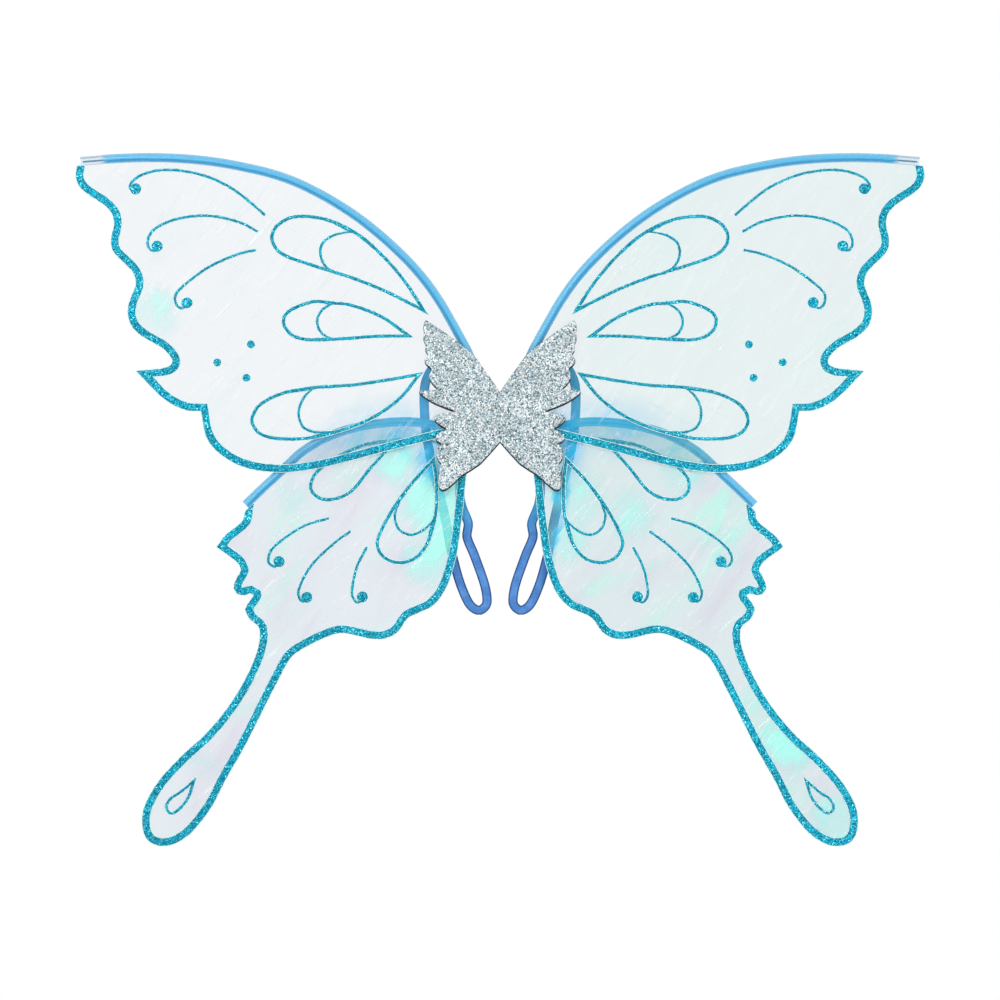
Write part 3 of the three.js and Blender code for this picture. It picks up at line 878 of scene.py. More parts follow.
def foam_material():
    material, tree, shader = new_material("Cut foam", specular_ior_level=0.2)
    cells = add_node(tree, "ShaderNodeTexVoronoi", {"Vector": object_place(tree), "Scale": 2400.0})
    depth = cells.outputs["Distance"]
    # The cut edge is near black. This is the foam's own dark edge and, where it shows under the lower edges,
    # a painted drop shadow.
    edge_and_shadow_tone = blended(tree, depth, colour(14, 30, 34), colour(52, 72, 78))
    back_tone = blended(tree, depth, colour(120, 136, 144), colour(164, 178, 184))
    facing = add_node(tree, "ShaderNodeTexCoord").outputs["Normal"]
    rearwards = add_node(tree, "ShaderNodeSeparateXYZ", {0: facing}).outputs[1]
    tone = blended(tree, remapped(tree, rearwards, 0.75, 0.95), edge_and_shadow_tone, back_tone)
    feed(tree, shader, base_color=tone, roughness=remapped(tree, depth, 0.0, 0.6, 0.7, 0.95))
    bumped(tree, shader, depth, 0.6, 0.0003)
    return material


def felt_material(name, body, shadow):
    material, tree, shader = new_material(name, specular_ior_level=0.15, sheen_weight=0.35)
    made = place_group(tree, felt_group(), {"Body": body, "Shadow": shadow})
    rough = remapped(tree, made["Height"], 0.4, 1.1, 0.98, 0.85)
    feed(tree, shader, base_color=made["Color"], roughness=rough)
    bumped(tree, shader, made["Height"], 0.7, 0.0006)
    return material


def elastic_material(settings):
    material, tree, shader = new_material("Blue elastic", specular_ior_level=0.3)
    # Beside the pad, the film's cyan sheen over the elastic is painted on the elastic itself.
    upper = stored(tree, "upper")
    plain = blended(tree, stored(tree, "shaded"), settings.body, settings.shadow)
    inputs = {
        "Across": stored(tree, "across"),
        "Along": stored(tree, "along"),
        "Body": blended(tree, upper, plain, settings.film_sheen_body),
        "Shadow": blended(tree, upper, settings.shadow, settings.film_sheen_shadow),
        "Edge Shade": blended(tree, upper, settings.edge_shade, settings.film_sheen_shadow),
    }
    made = place_group(tree, weave_group(), inputs)
    rough = remapped(tree, made["Height"], -0.5, 1.2, 0.85, 0.6)
    feed(tree, shader, base_color=made["Color"], roughness=rough)
    bumped(tree, shader, made["Height"], 0.5, 0.0003)
    return material


def thread_material():
    material, tree, shader = new_material("Sewing thread", specular_ior_level=0.35, sheen_weight=0.2)
    twist = noise_of(tree, object_place(tree), 2600.0, detail=2.0)
    tone = blended(tree, twist, colour(58, 98, 176), colour(122, 166, 230))
    feed(tree, shader, base_color=tone, roughness=remapped(tree, twist, 0.3, 0.7, 0.6, 0.85))
    bumped(tree, shader, twist, 0.4, 0.0002)
    return material


def floor_material():
    material, tree, shader = new_material(
        "Pale floor", specular_ior_level=0.1, emission_strength=0.14, emission_color=(1, 1, 1)
    )
    marks = place_group(tree, wear_group(), {"Scale": 3.0})["Marks"]
    tone = blended(tree, marks, colour(250, 250, 250), colour(246, 247, 248))
    feed(tree, shader, base_color=tone, roughness=remapped(tree, marks, 0.0, 1.0, 0.7, 0.85))
    return material


# ---- Settings ----------------------------------------------------------------------------------------


def tint(name, description, default):
    return FloatVectorProperty(
        name=name, description=description, default=default, subtype="COLOR", size=3, min=0.0, max=1.0
    )


def distance(name, description, default):
    return FloatProperty(name=name, description=description, default=default, unit="LENGTH", precision=5)


def share(name, description, default):
    return FloatProperty(
        name=name, description=description, default=default, subtype="FACTOR", min=0.0, max=1.0
    )


def power(name, description, default):
    return FloatProperty(name=name, description=description, default=default, unit="POWER")


class FilmSettings(bpy.types.PropertyGroup):
    """The clear film of the four wings"""

    body: tint("Film", "Colour of the film where it has no sheen", colour(124, 170, 196))
    lilac: tint("Lilac sheen", "Colour of the film's cool sheen", colour(160, 124, 184))
    mint: tint("Mint sheen", "Colour of the film's green sheen", colour(70, 232, 206))
    glare: tint("Glare", "Colour of the film where it shines", colour(138, 248, 234))
    # Painted reflection: the room's pale teal, painted into the film of the right wings.
    teal: tint("Reflected teal", "Colour of the film on the right wings", colour(84, 174, 178))
    folds: tint("Gathered film", "Colour of the film's blue folds in the middle", colour(22, 188, 236))
    opacity: share("Forewing opacity", "How much of what lies behind the film is hidden", 0.155)
    rear_opacity: share("Hindwing opacity", "How much of what lies behind the film is hidden", 0.28)
    ripple_height: distance("Ripple height", "How far the loose film waves out of its plane", 2.6 * MM)
    tail_curl: distance("Tail curl", "How far the ends of the tails bend forwards", 5 * MM)
    grid: distance("Grid", "Distance between the points inside the film", 4 * MM)


class GlitterSettings(bpy.types.PropertyGroup):
    """Turquoise glitter printed on the film"""

    body: tint("Glitter", "Main colour of the flakes", colour(14, 172, 200))
    shadow: tint("Turned flakes", "Colour of the flakes that face away", colour(0, 116, 150))
    spark: tint("Lit flakes", "Colour of the flakes that catch the light", colour(122, 236, 246))
    flake_size: distance("Flake size", "Width of one flake", 0.9 * MM)
    tilt: share("Flake tilt", "How unevenly the flakes lie", 0.7)


class SilverSettings(bpy.types.PropertyGroup):
    """Silver glitter on the foam centrepiece"""

    body: tint("Silver", "Main colour of the flakes", colour(184, 208, 213))
    shadow: tint("Turned flakes", "Colour of the flakes that face away", colour(70, 96, 102))
    spark: tint("Lit flakes", "Colour of the flakes that catch the light", colour(252, 255, 255))
    flake_size: distance("Flake size", "Width of one flake", 1.1 * MM)
    tilt: share("Flake tilt", "How unevenly the flakes lie", 0.8)


class SleeveSettings(bpy.types.PropertyGroup):
    """Blue film sleeves that hold the wires"""

    body: tint("Sleeve", "Colour of the sleeve's middle", colour(88, 196, 244))
    deep: tint("Inner crease", "Colour beside the sleeve's inner edge", colour(44, 150, 206))
    pale: tint("Edges", "Colour of the sleeve's two edges", colour(150, 220, 246))
    gathered: tint("Near the middle", "Colour of the sleeves near the centrepiece", colour(56, 206, 250))
    clear_end: distance("Clear end", "Length of the clear stretch at the sleeve's open end", 26 * MM)
    lip: distance("Lip", "Width of the clear lip outside the sleeve's weld", 1.5 * MM)


class ElasticSettings(bpy.types.PropertyGroup):
    """Woven elastic of the arm loops"""

    body: tint("Elastic", "Colour of the ribs", colour(104, 164, 234))
    shadow: tint("Between the ribs", "Colour between the ribs", colour(48, 104, 178))
    # Painted sheen: the cyan that the film in front gives the elastic beside the pad.
    film_sheen_body: tint("Elastic under film sheen", "Colour of the ribs beside the pad", colour(92, 202, 248))
    film_sheen_shadow: tint("Between ribs under film sheen", "Colour between the ribs beside the pad", colour(52, 168, 230))
    # Painted shade along both edges of the elastic.
    edge_shade: tint("Edge Shade", "Colour of the woven edges", colour(26, 62, 122))
    turn_from: distance("Turn of colour", "Height at which the elastic's colour starts to turn", -0.125)


class PadSettings(bpy.types.PropertyGroup):
    """Felt pad that lies on the wearer's back"""

    body: tint("Felt", "Colour of the felt", colour(84, 162, 222))
    shadow: tint("Felt depth", "Colour between the fibres", colour(40, 108, 178))
    crown: distance("Crown", "How far the pad's middle stands out of its flat face", 0.9 * MM)
    seam_inset: distance("Seam inset", "Distance from the pad's edge to its seam", 4 * MM)


class StageSettings(bpy.types.PropertyGroup):
    """Floor, lights and camera"""

    camera_distance: distance("Camera distance", "From the camera to the wings", 3.0)
    frame_share: FloatProperty(
        name="Frame", description="Width of the picture over the width of the wings", default=1.1815
    )
    floor_drop: distance("Floor drop", "From the tails down to the floor", 0.5)
    key: power("Key light", "Power of the main light", 26.0)
    fill: power("Fill light", "Power of the fill light", 14.0)
    rear: power("Rear light", "Power of the rear light", 16.0)


class WingsSettings(bpy.types.PropertyGroup):
    """Everything that a user would change"""

    film: PointerProperty(type=FilmSettings)
    glitter: PointerProperty(type=GlitterSettings)
    silver: PointerProperty(type=SilverSettings)
    sleeve: PointerProperty(type=SleeveSettings)
    elastic: PointerProperty(type=ElasticSettings)
    pad: PointerProperty(type=PadSettings)
    stage: PointerProperty(type=StageSettings)


# ---- Stage -------------------------------------------------------------------------------------------


def aim(thing, target):
    thing.rotation_euler = (target - thing.location).to_track_quat("-Z", "Y").to_euler()


def add_light(name, power, size, place, target):
    light = bpy.data.lights.new(name, "AREA")
    light.energy = power
    light.shape = "DISK"
    light.size = size
    lamp = bpy.data.objects.new(name, light)
    bpy.context.scene.collection.objects.link(lamp)
    lamp.location = place
    aim(lamp, target)


def add_floor(height):
    """A round floor with a softly rolled edge."""
    radius, rim, sides = 1.8, 0.04, 96
    profile = [(radius * i / 12, 0.0) for i in range(1, 13)]
    for a in (math.pi / 8, math.pi / 4, math.pi / 2):
        profile.append((radius + rim * math.sin(a), rim * (math.cos(a) - 1)))
    vertices = [(0, 0, height)]
    for reach, drop in profile:
        vertices += [(reach * math.cos(a), reach * math.sin(a), height + drop) for a in turns(sides)]
    faces = [(0, 1 + i, 1 + (i + 1) % sides) for i in range(sides)]
    faces += [face[::-1] for face in stack(1, sides, len(profile))]
    make_piece("floor", vertices, faces, [floor_material()])


class WINGS_OT_stage(bpy.types.Operator):
    """Add the camera, the lights and the pale floor"""

    bl_idname = "fairy_wings.stage"
    bl_label = "Stage"

    def execute(self, context):
        settings = context.scene.fairy_wings.stage
        low, high = (Vector(tuple(corner)) for corner in cad_box)
        middle = (low + high) / 2
        lens = bpy.data.cameras.new("camera")
        lens.lens = lens.sensor_width * settings.camera_distance / (settings.frame_share * (high.x - low.x))
        camera = bpy.data.objects.new("camera", lens)
        context.scene.collection.objects.link(camera)
        camera.location = middle - Vector((0, settings.camera_distance, 0))
        aim(camera, middle)
        context.scene.camera = camera
        for name, strength, size, place in (
            ("key_light", settings.key, 1.5, (-1.2, -1.9, 1.5)),
            ("fill_light", settings.fill, 1.8, (1.7, -1.7, 0.3)),
            ("rear_light", settings.rear, 1.6, (0.7, 2.0, 1.4)),
        ):
            add_light(name, strength, size, middle + Vector(place), middle)
        self.light_world(context.scene)
        add_floor(low.z - settings.floor_drop)
        context.scene.view_settings.view_transform = "Standard"
        return {"FINISHED"}

    def light_world(self, scene):
        """White behind the wings, and softer white light from all round."""
        world = bpy.data.worlds.new("soft_room")
        world.use_nodes = True
        scene.world = world
        tree = world.node_tree
        background = next(node for node in tree.nodes if node.type == "BACKGROUND")
        seen = add_node(tree, "ShaderNodeLightPath").outputs["Is Camera Ray"]
        strength = remapped(tree, seen, 0.0, 1.0, 0.62, 1.0, kind="LINEAR")
        feed(tree, background, strength=strength, color=(1, 1, 1))


# ---- Films -------------------------------------------------------------------------------------------

# Where the film's sheen is brightest: (x, z, reach, strength).
SHEEN_SPOTS = (
    (-0.065, -0.085, 0.055, 0.95),
    (-0.050, -0.120, 0.045, 0.8),
    (-0.105, -0.045, 0.045, 0.6),
    (0.075, -0.080, 0.050, 0.6),
    (0.130, -0.100, 0.045, 0.45),
    (0.185, -0.055, 0.045, 0.4),
    (-0.205, -0.085, 0.040, 0.3),
    (0.290, -0.330, 0.050, 0.7),
    (0.335, -0.405, 0.040, 0.6),
    (-0.300, -0.350, 0.040, 0.3),
    (-0.075, -0.150, 0.040, 0.7),
    (0.062, -0.125, 0.045, 0.5),
    (-0.262, -0.260, 0.035, 0.35),
    (0.262, -0.285, 0.035, 0.3),
    (-0.350, 0.105, 0.045, 0.5),
    (0.225, -0.135, 0.040, 0.4),
)


def sheen_at(x, z):
    value = 0.0
    for spot_x, spot_z, reach, strength in SHEEN_SPOTS:
        away = math.hypot(x - spot_x, z - spot_z)
        value = max(value, strength * (1 - smoothstep(0.15 * reach, reach, away)))
    return value


def reflected_teal_at(x, z):
    """How much of the room's pale teal the film reflects here, painted on as a colour: the right wings lean
    towards it.
    """
    return smoothstep(0.0, 0.1, x) * (0.6 + 0.4 * smoothstep(-0.12, -0.02, z))


# Blue folds that run out from under the centrepiece: ((x, z) points, half width, strength).
FOLD_LINES = (
    (((0.066, -0.040), (0.068, -0.075), (0.061, -0.108), (0.052, -0.135), (0.049, -0.185)), 0.005, 0.62),
    (((-0.068, -0.020), (-0.067, -0.050), (-0.060, -0.078)), 0.008, 0.6),
    (((0.067, -0.020), (0.064, -0.055), (0.056, -0.085)), 0.007, 0.5),
)


def fold_at(x, z):
    """How deep in one of the blue folds the film lies here."""
    spot = Vector((x, z))
    value = 0.0
    for line, half_width, strength in FOLD_LINES:
        for start, end in zip(line, line[1:]):
            _, share = intersect_point_line(spot, start, end)
            nearest = Vector(start).lerp(Vector(end), min(max(share, 0.0), 1.0))
            away = (spot - nearest).length
            value = max(value, strength * (1 - smoothstep(0.35 * half_width, half_width, away)))
    return value


# The middle of the gathered film on each side.
GATHER_OUT, GATHER_UP = 0.058, -0.030


def gathered_at(x, z):
    """How tightly the film is gathered here: round its root, and along the hindwing's sleeve."""
    away = math.hypot((abs(x) - GATHER_OUT) / 0.75, z - GATHER_UP)
    middle = 1 - smoothstep(10 * MM, 56 * MM, away)
    sleeve_height = -0.012 - 4.3 * max(0.0, abs(x) - 0.12) ** 2
    from_sleeve = abs(z - sleeve_height)
    beside = (1 - smoothstep(8 * MM, 42 * MM, from_sleeve)) * (1 - smoothstep(0.10, 0.25, abs(x)))
    return max(middle, 0.4 * beside, fold_at(x, z))


def film_outline(word, wing):
    """The film's edge: along the sleeve's inner side, then under the glitter border."""
    sleeve = sleeve_paths[word, wing]
    sleeve_width = sleeve_breadth(word, wing)
    film_edge = front_loops(f"{word}_{wing}_film")[0]
    one, other = strip_sides(front_loops(f"{word}_{wing}_border")[0], sleeve[0])
    middle = [flat(p) for p in one]
    share_inside = inside([tuple(p) for p in middle], [film_edge]).mean()
    outer = other if share_inside > 0.5 else one
    inner = other if outer is one else one
    within = inner[len(inner) // 2]
    outer_line = smooth(outer, 2 * MM)
    tucked = min(
        (moved(outer_line, reach) for reach in (TUCK, -TUCK)),
        key=lambda line: min((p - within).length for p in line),
    )
    along_sleeve = min(
        (moved(sleeve, reach * (sleeve_width / 2 - TUCK)) for reach in (1, -1)),
        key=lambda line: (line[len(line) // 2] - tucked[len(tucked) // 2]).length,
    )
    return along_sleeve[::-1] + tucked


def sleeve_breadth(word, wing):
    """The width of the sleeve, from its open end, which is cut square."""
    node = f"{word}_{wing}_casing"
    tip = sleeve_paths[word, wing][0]
    side = SIDES[word]
    ends = [math.hypot(side * v.co.x - tip.x, v.co.z - tip.z) for v in nodes[node].data.vertices]
    return 2 * max(reach for reach in ends if reach < NEAR_TIP)


def add_film(word, wing, material, settings):
    side = SIDES[word]
    node = f"{word}_{wing}_film"
    outline = film_outline(word, wing)
    depth = middle_depth(node)
    low = Vector((min(p.x for p in outline), min(p.z for p in outline)))
    high = Vector((max(p.x for p in outline), max(p.z for p in outline)))
    step = settings.grid
    grid = []
    for row in range(int((high.y - low.y) / (step * 0.87)) + 1):
        for column in range(int((high.x - low.x) / step) + 1):
            shift = 0.5 * (row % 2)
            grid.append((low.x + (column + shift) * step, low.y + row * step * 0.87))
    points, triangles = filled([outline], clear_inside(grid, outline, tree_of(outline), step * 0.35))
    places = [Vector((p.x, 0, p.y)) for p in points]
    vertices = [(side * p.x, depth + ripple(side, p), p.z) for p in places]
    faces = [tuple(t) if side > 0 else tuple(reversed(t)) for t in triangles]
    piece = make_piece(f"{node}_sheet", vertices, faces, [material])
    store(piece, "sheen", [sheen_at(x, z) for x, _, z in vertices])
    store(piece, "teal", [reflected_teal_at(x, z) for x, _, z in vertices])
    store(piece, "gathered", [gathered_at(x, z) for x, _, z in vertices])
    store(piece, "rear", [float(wing == "hindwing")] * len(vertices))
    settle(piece, f"{word}_wing", "clear_film", node)


class WINGS_OT_films(bpy.types.Operator):
    """Add the clear film of the forewings and hindwings"""

    bl_idname = "fairy_wings.films"
    bl_label = "Films"

    def execute(self, context):
        settings = context.scene.fairy_wings.film
        material = film_material(settings)
        for word in SIDES:
            for wing in WINGS:
                add_film(word, wing, material, settings)
        return {"FINISHED"}


# ---- Glitter prints ----------------------------------------------------------------------------------


def printed_levels(node):
    """Levels of a printed line, and how near each lies to its edge.

    Clear glue spreads a little way over the film, and the glitter stands on it with a soft shoulder.
    """
    low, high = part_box(node)
    thick = high.y - low.y
    levels = [
        (0.0, high.y + 0.25 * MM, 0.0),
        (-GLUE_SPREAD, high.y + 0.25 * MM, 0.0),
        (-0.7 * MM, high.y + 0.15 * MM, 0.0),
        (0.0, high.y + 0.08 * MM, 0.0),
        (0.0, high.y - 0.45 * thick, 0.0),
        (0.12 * MM, high.y - 0.75 * thick, 0.0),
        (0.35 * MM, high.y - 0.93 * thick, 0.0),
        (0.6 * MM, low.y + 0.02 * thick, 0.0),
        (0.85 * MM, low.y, 0.0),
    ]
    return levels, [1, 1, 1, 1, 1, 0.9, 0.55, 0.2, 0]


def is_glitter(node):
    return any(kind in node for kind in ("_border", "_loop_", "_curl_", "_dot_", "_teardrop"))


class WINGS_OT_glitter(bpy.types.Operator):
    """Add the glitter borders, loops, curls, dots and teardrops"""

    bl_idname = "fairy_wings.glitter"
    bl_label = "Glitter prints"

    def execute(self, context):
        settings = context.scene.fairy_wings.glitter
        material = glitter_material("Turquoise glitter", settings, metallic=0.7)
        glue = glowing_glue_material()
        for node in sorted(nodes):
            if not is_glitter(node):
                continue
            loops = [ragged(smooth(loop, 1.6 * MM, closed=True), 0.22 * MM) for loop in front_loops(node)]
            levels, rims = printed_levels(node)
            piece = raised(
                f"{node}_print", loops, side_of(node), levels, [material, glue],
                band_of=lambda band: 1 if band in (1, 2) else 0, rims=rims,
            )
            settle(piece, f"{node.split('_')[0]}_wing", "turquoise_glitter", node)
        return {"FINISHED"}


# ---- Sleeves and wires -------------------------------------------------------------------------------


def swept(path, side, section):
    """Vertices and faces of a closed section carried along a path in the film's plane.

    section(i) gives points (across, depth) for the path's point i: across is to its left.
    """
    ahead = moved(path, 1.0, sharpest=1.0)
    rings = [section(i) for i in range(len(path))]
    vertices = []
    for p, a, ring in zip(path, ahead, rings):
        across = (a - p).normalized()
        for reach, depth in ring:
            spot = p + across * reach
            vertices.append((side * spot.x, depth, spot.z))
    return vertices, stack(0, len(rings[0]), len(rings))


def outward_sign(path, reference):
    """1 where the left of the path faces away from a point, otherwise -1."""
    line = moved(path, 1 * MM)
    middle = len(path) // 2
    return 1 if (line[middle] - reference).length > (path[middle] - reference).length else -1


def add_sleeve(word, wing, material, settings):
    """A flat film tube, welded along both edges, with a narrow lip outside the outer weld."""
    side = SIDES[word]
    node = f"{word}_{wing}_casing"
    low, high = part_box(node)
    plane, half_depth = (low.y + high.y) / 2, (high.y - low.y) / 2
    half_width = sleeve_breadth(word, wing) / 2
    path = sleeve_paths[word, wing]
    film_edge = front_loops(f"{word}_{wing}_film")[0]
    out = outward_sign(path, sum(film_edge, Vector()) / len(film_edge))
    around = 20

    def tube(i):
        ring = []
        for angle in turns(around):
            crinkle = 0.05 * noise.noise(Vector((i * 0.31, math.cos(angle) * 1.5, math.sin(angle))))
            bulge = abs(math.sin(angle)) ** 1.25 * (1 + crinkle)
            sign = math.copysign(1, math.sin(angle))
            ring.append((math.cos(angle) * half_width, plane + sign * half_depth * bulge))
        return ring

    vertices, faces = swept(path, side, tube)
    across = [math.cos(angle) * out for _ in path for angle in turns(around)]
    from_tip = [path_length(path[:i + 1]) if wing == "forewing" else 1.0 for i in range(len(path))]
    along = [value for value in from_tip for _ in range(around)]
    thin = 0.12 * MM

    def lip(i):
        bead = 0.28 * MM
        taper = min(1.0, 0.1 + (len(path) - 1 - i) / 6)
        lip_in = out * (half_width - 0.4 * MM)
        lip_out = out * (half_width + settings.lip * taper)
        return [
            (lip_in, plane - thin),
            (lip_out - out * 0.3 * MM, plane - thin),
            (lip_out, plane - bead),
            (lip_out + out * 0.2 * MM, plane),
            (lip_out, plane + bead),
            (lip_out - out * 0.3 * MM, plane + thin),
            (lip_in, plane + thin),
        ]

    more, more_faces = swept(path, side, lip)
    start = len(vertices)
    vertices += more
    faces += [tuple(start + i for i in face) for face in more_faces]
    across += [mark for _ in path for mark in (0.9, 0.9, -0.4, -0.9, -0.4, 0.9, 0.9)]
    along += [value for value in from_tip for _ in range(7)]
    piece = make_piece(f"{node}_tube", vertices, faces, [material])
    store(piece, "across", across)
    store(piece, "along", along)
    store(piece, "gathered", [gathered_at(x, z) for x, _, z in vertices])
    settle(piece, f"{word}_wing", "blue_sleeve", node)


def add_wire(word, wing, material):
    side = SIDES[word]
    node = f"{word}_{wing}_wire"
    low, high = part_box(node)
    plane, radius = (low.y + high.y) / 2, (high.y - low.y) / 2
    path = spline(ridge(node), 3 * MM)
    around = 14
    rounding = (0.45, 0.8, 1.0)

    def rod(i):
        from_end = min(i, len(path) - 1 - i)
        thick = radius * (rounding[from_end] if from_end < len(rounding) else 1.0)
        return [(math.cos(a) * thick, plane + math.sin(a) * thick) for a in turns(around)]

    ends = [path[0].lerp(path[1], 0.12), path[-1].lerp(path[-2], 0.12)]
    path = [path[0], ends[0], *path[1:-1], ends[1], path[-1]]
    vertices, faces = swept(path, side, rod)
    faces += caps(0, len(vertices), around)
    piece = make_piece(f"{node}_rod", vertices, faces, [material])
    turn_outwards(piece)
    keep_edges(piece, 60)
    settle(piece, f"{word}_wing", "wire", node)


class WINGS_OT_sleeves(bpy.types.Operator):
    """Add the blue film sleeves and the wires inside them"""

    bl_idname = "fairy_wings.sleeves"
    bl_label = "Sleeves and wires"

    def execute(self, context):
        settings = context.scene.fairy_wings.sleeve
        film = sleeve_material(settings)
        metal = wire_material()
        for word in SIDES:
            for wing in WINGS:
                add_sleeve(word, wing, film, settings)
                add_wire(word, wing, metal)
        return {"FINISHED"}


# ---- Centrepiece -------------------------------------------------------------------------------------


class WINGS_OT_centrepiece(bpy.types.Operator):
    """Add the silver glitter foam centrepiece, in two halves that meet at its crease"""

    bl_idname = "fairy_wings.centrepiece"
    bl_label = "Centrepiece"

    def execute(self, context):
        silver = glitter_material(
            "Silver glitter", context.scene.fairy_wings.silver, metallic=0.15, rainbow=0.1, spark_share=0.28
        )
        foam = foam_material()
        for word, side in SIDES.items():
            node = f"{word}_centrepiece"
            low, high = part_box(node)
            loop = [
                Vector((p.x if p.x > 0.3 * MM else 0.02 * MM, p.y, p.z)) for p in front_loops(node)[0]
            ]
            outline = self.rounded(loop)
            # The rear levels are slid about 2 mm down, so that the dark foam shows as a line under the lower
            # edges: a painted drop shadow.
            levels = [
                (0.15 * MM, high.y, -1.9 * MM),
                (0.0, high.y - 0.3 * MM, -1.8 * MM),
                (0.0, low.y + 0.75 * MM, -0.1 * MM),
                (0.0, low.y + 0.45 * MM, 0.0),
                (0.12 * MM, low.y + 0.15 * MM, 0.0),
                (0.4 * MM, low.y, 0.0),
            ]
            piece = raised(
                f"{node}_feathers", [outline], side, levels, [foam, silver],
                lift=no_lift, band_of=lambda band: 0 if band < 3 else 1, rims=[1, 1, 1, 0.7, 0.5, 0],
            )
            settle(piece, f"{word}_wing", "silver_glitter_foam", node)
        return {"FINISHED"}

    def rounded(self, loop):
        """The feathered edge with a point every 1.5 mm and softly rounded tips."""
        fine = subdivided(loop, 1.5 * MM)
        for _ in range(3):
            fine = [
                p if p.x < 0.5 * MM else (fine[i - 1] + p * 2 + fine[(i + 1) % len(fine)]) / 4
                for i, p in enumerate(fine)
            ]
        return fine


# ---- Pad, patches and binding ------------------------------------------------------------------------


def add_stitches(name, path, spacing, length, radius, material, slot):
    """A row of short thread stitches on the hub, along a path of (place, outward direction)."""
    vertices, faces = [], []
    around, rings = 6, ((-1.0, 0.25), (-0.6, 0.85), (0.0, 1.0), (0.6, 0.85), (1.0, 0.25))
    travelled, last = spacing / 2, path[0][0]
    for (place, outward), (after, _) in zip(path, path[1:]):
        travelled += (place - last).length
        last = place
        if travelled < spacing:
            continue
        travelled -= spacing
        along = (after - place).normalized()
        sideways = along.cross(outward).normalized()
        start = len(vertices)
        for shift, size in rings:
            for a in turns(around):
                ring = sideways * math.cos(a) + outward * math.sin(a) * 0.8
                vertices.append(place + along * shift * length / 2 + ring * radius * size)
        faces += stack(start, around, len(rings))
        faces += caps(start, len(vertices), around)
    piece = make_piece(name, vertices, faces, [material])
    turn_outwards(piece)
    settle(piece, "hub", slot)


def add_back_pad(material, thread, settings):
    """A felt pad, crowned on both faces, with a sewn channel inside its edge."""
    low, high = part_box("back_pad")
    thick = high.y - low.y
    outline = turned(smooth(front_loops("back_pad")[0], 2 * MM, closed=True), True)
    edge_tree = tree_of(outline)
    rings = [(0.0, 0.5), (0.35 * MM, 0.2), (1.1 * MM, 0.04), (2.2 * MM, 0.0)]
    inner = moved(outline, rings[-1][0], closed=True)
    spacing = 2.2 * MM
    columns = int((high.x - low.x) / spacing) + 1
    rows = int((high.z - low.z) / spacing) + 1
    grid = [(low.x + c * spacing, low.z + r * spacing) for r in range(rows) for c in range(columns)]
    points, triangles = filled([inner], clear_inside(grid, inner, edge_tree, rings[-1][0] + 0.9 * MM))

    def swell(p):
        away = edge_tree.find((p.x, 0, p.y))[2]
        channel = math.exp(-(((away - settings.seam_inset) / (0.9 * MM)) ** 2))
        crown = smoothstep(rings[-1][0], 18 * MM, away)
        return settings.crown * crown - 0.55 * MM * channel + 0.12 * MM * noise.noise(
            Vector((p.x * 120, 0, p.y * 120))
        ) * crown

    count = len(outline)
    vertices, faces = [], []
    for face, sign in ((high.y, 1), (low.y, -1)):
        start = len(vertices)
        for inset, depth in rings[1 if sign < 0 else 0:]:
            ring = moved(outline, inset, closed=True) if inset else outline
            vertices += [(p.x, face - sign * depth * thick, p.z) for p in ring]
        front_crown = 0.12 if sign < 0 else 1.0
        extra = points[count:]
        vertices += [(p.x, face + sign * front_crown * swell(p), p.y) for p in extra]
        levels = len(rings) - (1 if sign < 0 else 0)
        faces += stack(start, count, levels)
        inner_start = start + (levels - 1) * count
        faces += [tuple(inner_start + i for i in t) for t in triangles]
        if sign < 0:
            faces += quads(0, count, start)
    piece = make_piece("back_pad_felt", vertices, faces, [material])
    turn_outwards(piece)
    settle(piece, "hub", "felt", "back_pad")
    seam = moved(outline, settings.seam_inset, closed=True)
    path = [(Vector((p.x, high.y - 0.35 * MM, p.z)), Vector((0, 1, 0))) for p in seam + seam[:2]]
    add_stitches("back_pad_seam", path, 3.4 * MM, 2.5 * MM, 0.32 * MM, thread, "felt")


def add_binding(material, thread):
    """The folded strip that binds the two sides at the crease, gathered by its stitches."""
    low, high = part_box("centre_binding")
    middle = (low + high) / 2
    half_width, half_depth = (high.x - low.x) / 2, (high.y - low.y) / 2
    around, rings, gathers = 20, 48, 14
    vertices = []
    for level in range(rings + 1):
        share_up = level / rings
        z = mix(low.z, high.z, share_up)
        gather = 1 - 0.12 * (0.5 + 0.5 * math.cos(share_up * gathers * 2 * math.pi))
        tip = min(1.0, 0.55 + 7 * min(share_up, 1 - share_up))
        for a in turns(around):
            x = math.copysign(abs(math.cos(a)) ** 0.6, math.cos(a)) * half_width * gather * tip
            y = math.copysign(abs(math.sin(a)) ** 0.35, math.sin(a)) * half_depth * tip
            vertices.append((middle.x + x, middle.y + y, z))
    faces = stack(0, around, rings + 1) + caps(0, len(vertices), around)
    piece = make_piece("centre_binding_strip", vertices, faces, [material])
    turn_outwards(piece)
    keep_edges(piece, 60)
    settle(piece, "hub", "felt", "centre_binding")
    for name, sign in SIDES.items():
        edge = middle.x + sign * half_width
        path = [
            (Vector((edge, middle.y, mix(low.z, high.z, i / 60))), Vector((sign, 0, 0)))
            for i in range(2, 59)
        ]
        row = f"centre_binding_{name}_stitches"
        add_stitches(row, path, 3.5 * MM, 2.2 * MM, 0.22 * MM, thread, "felt")


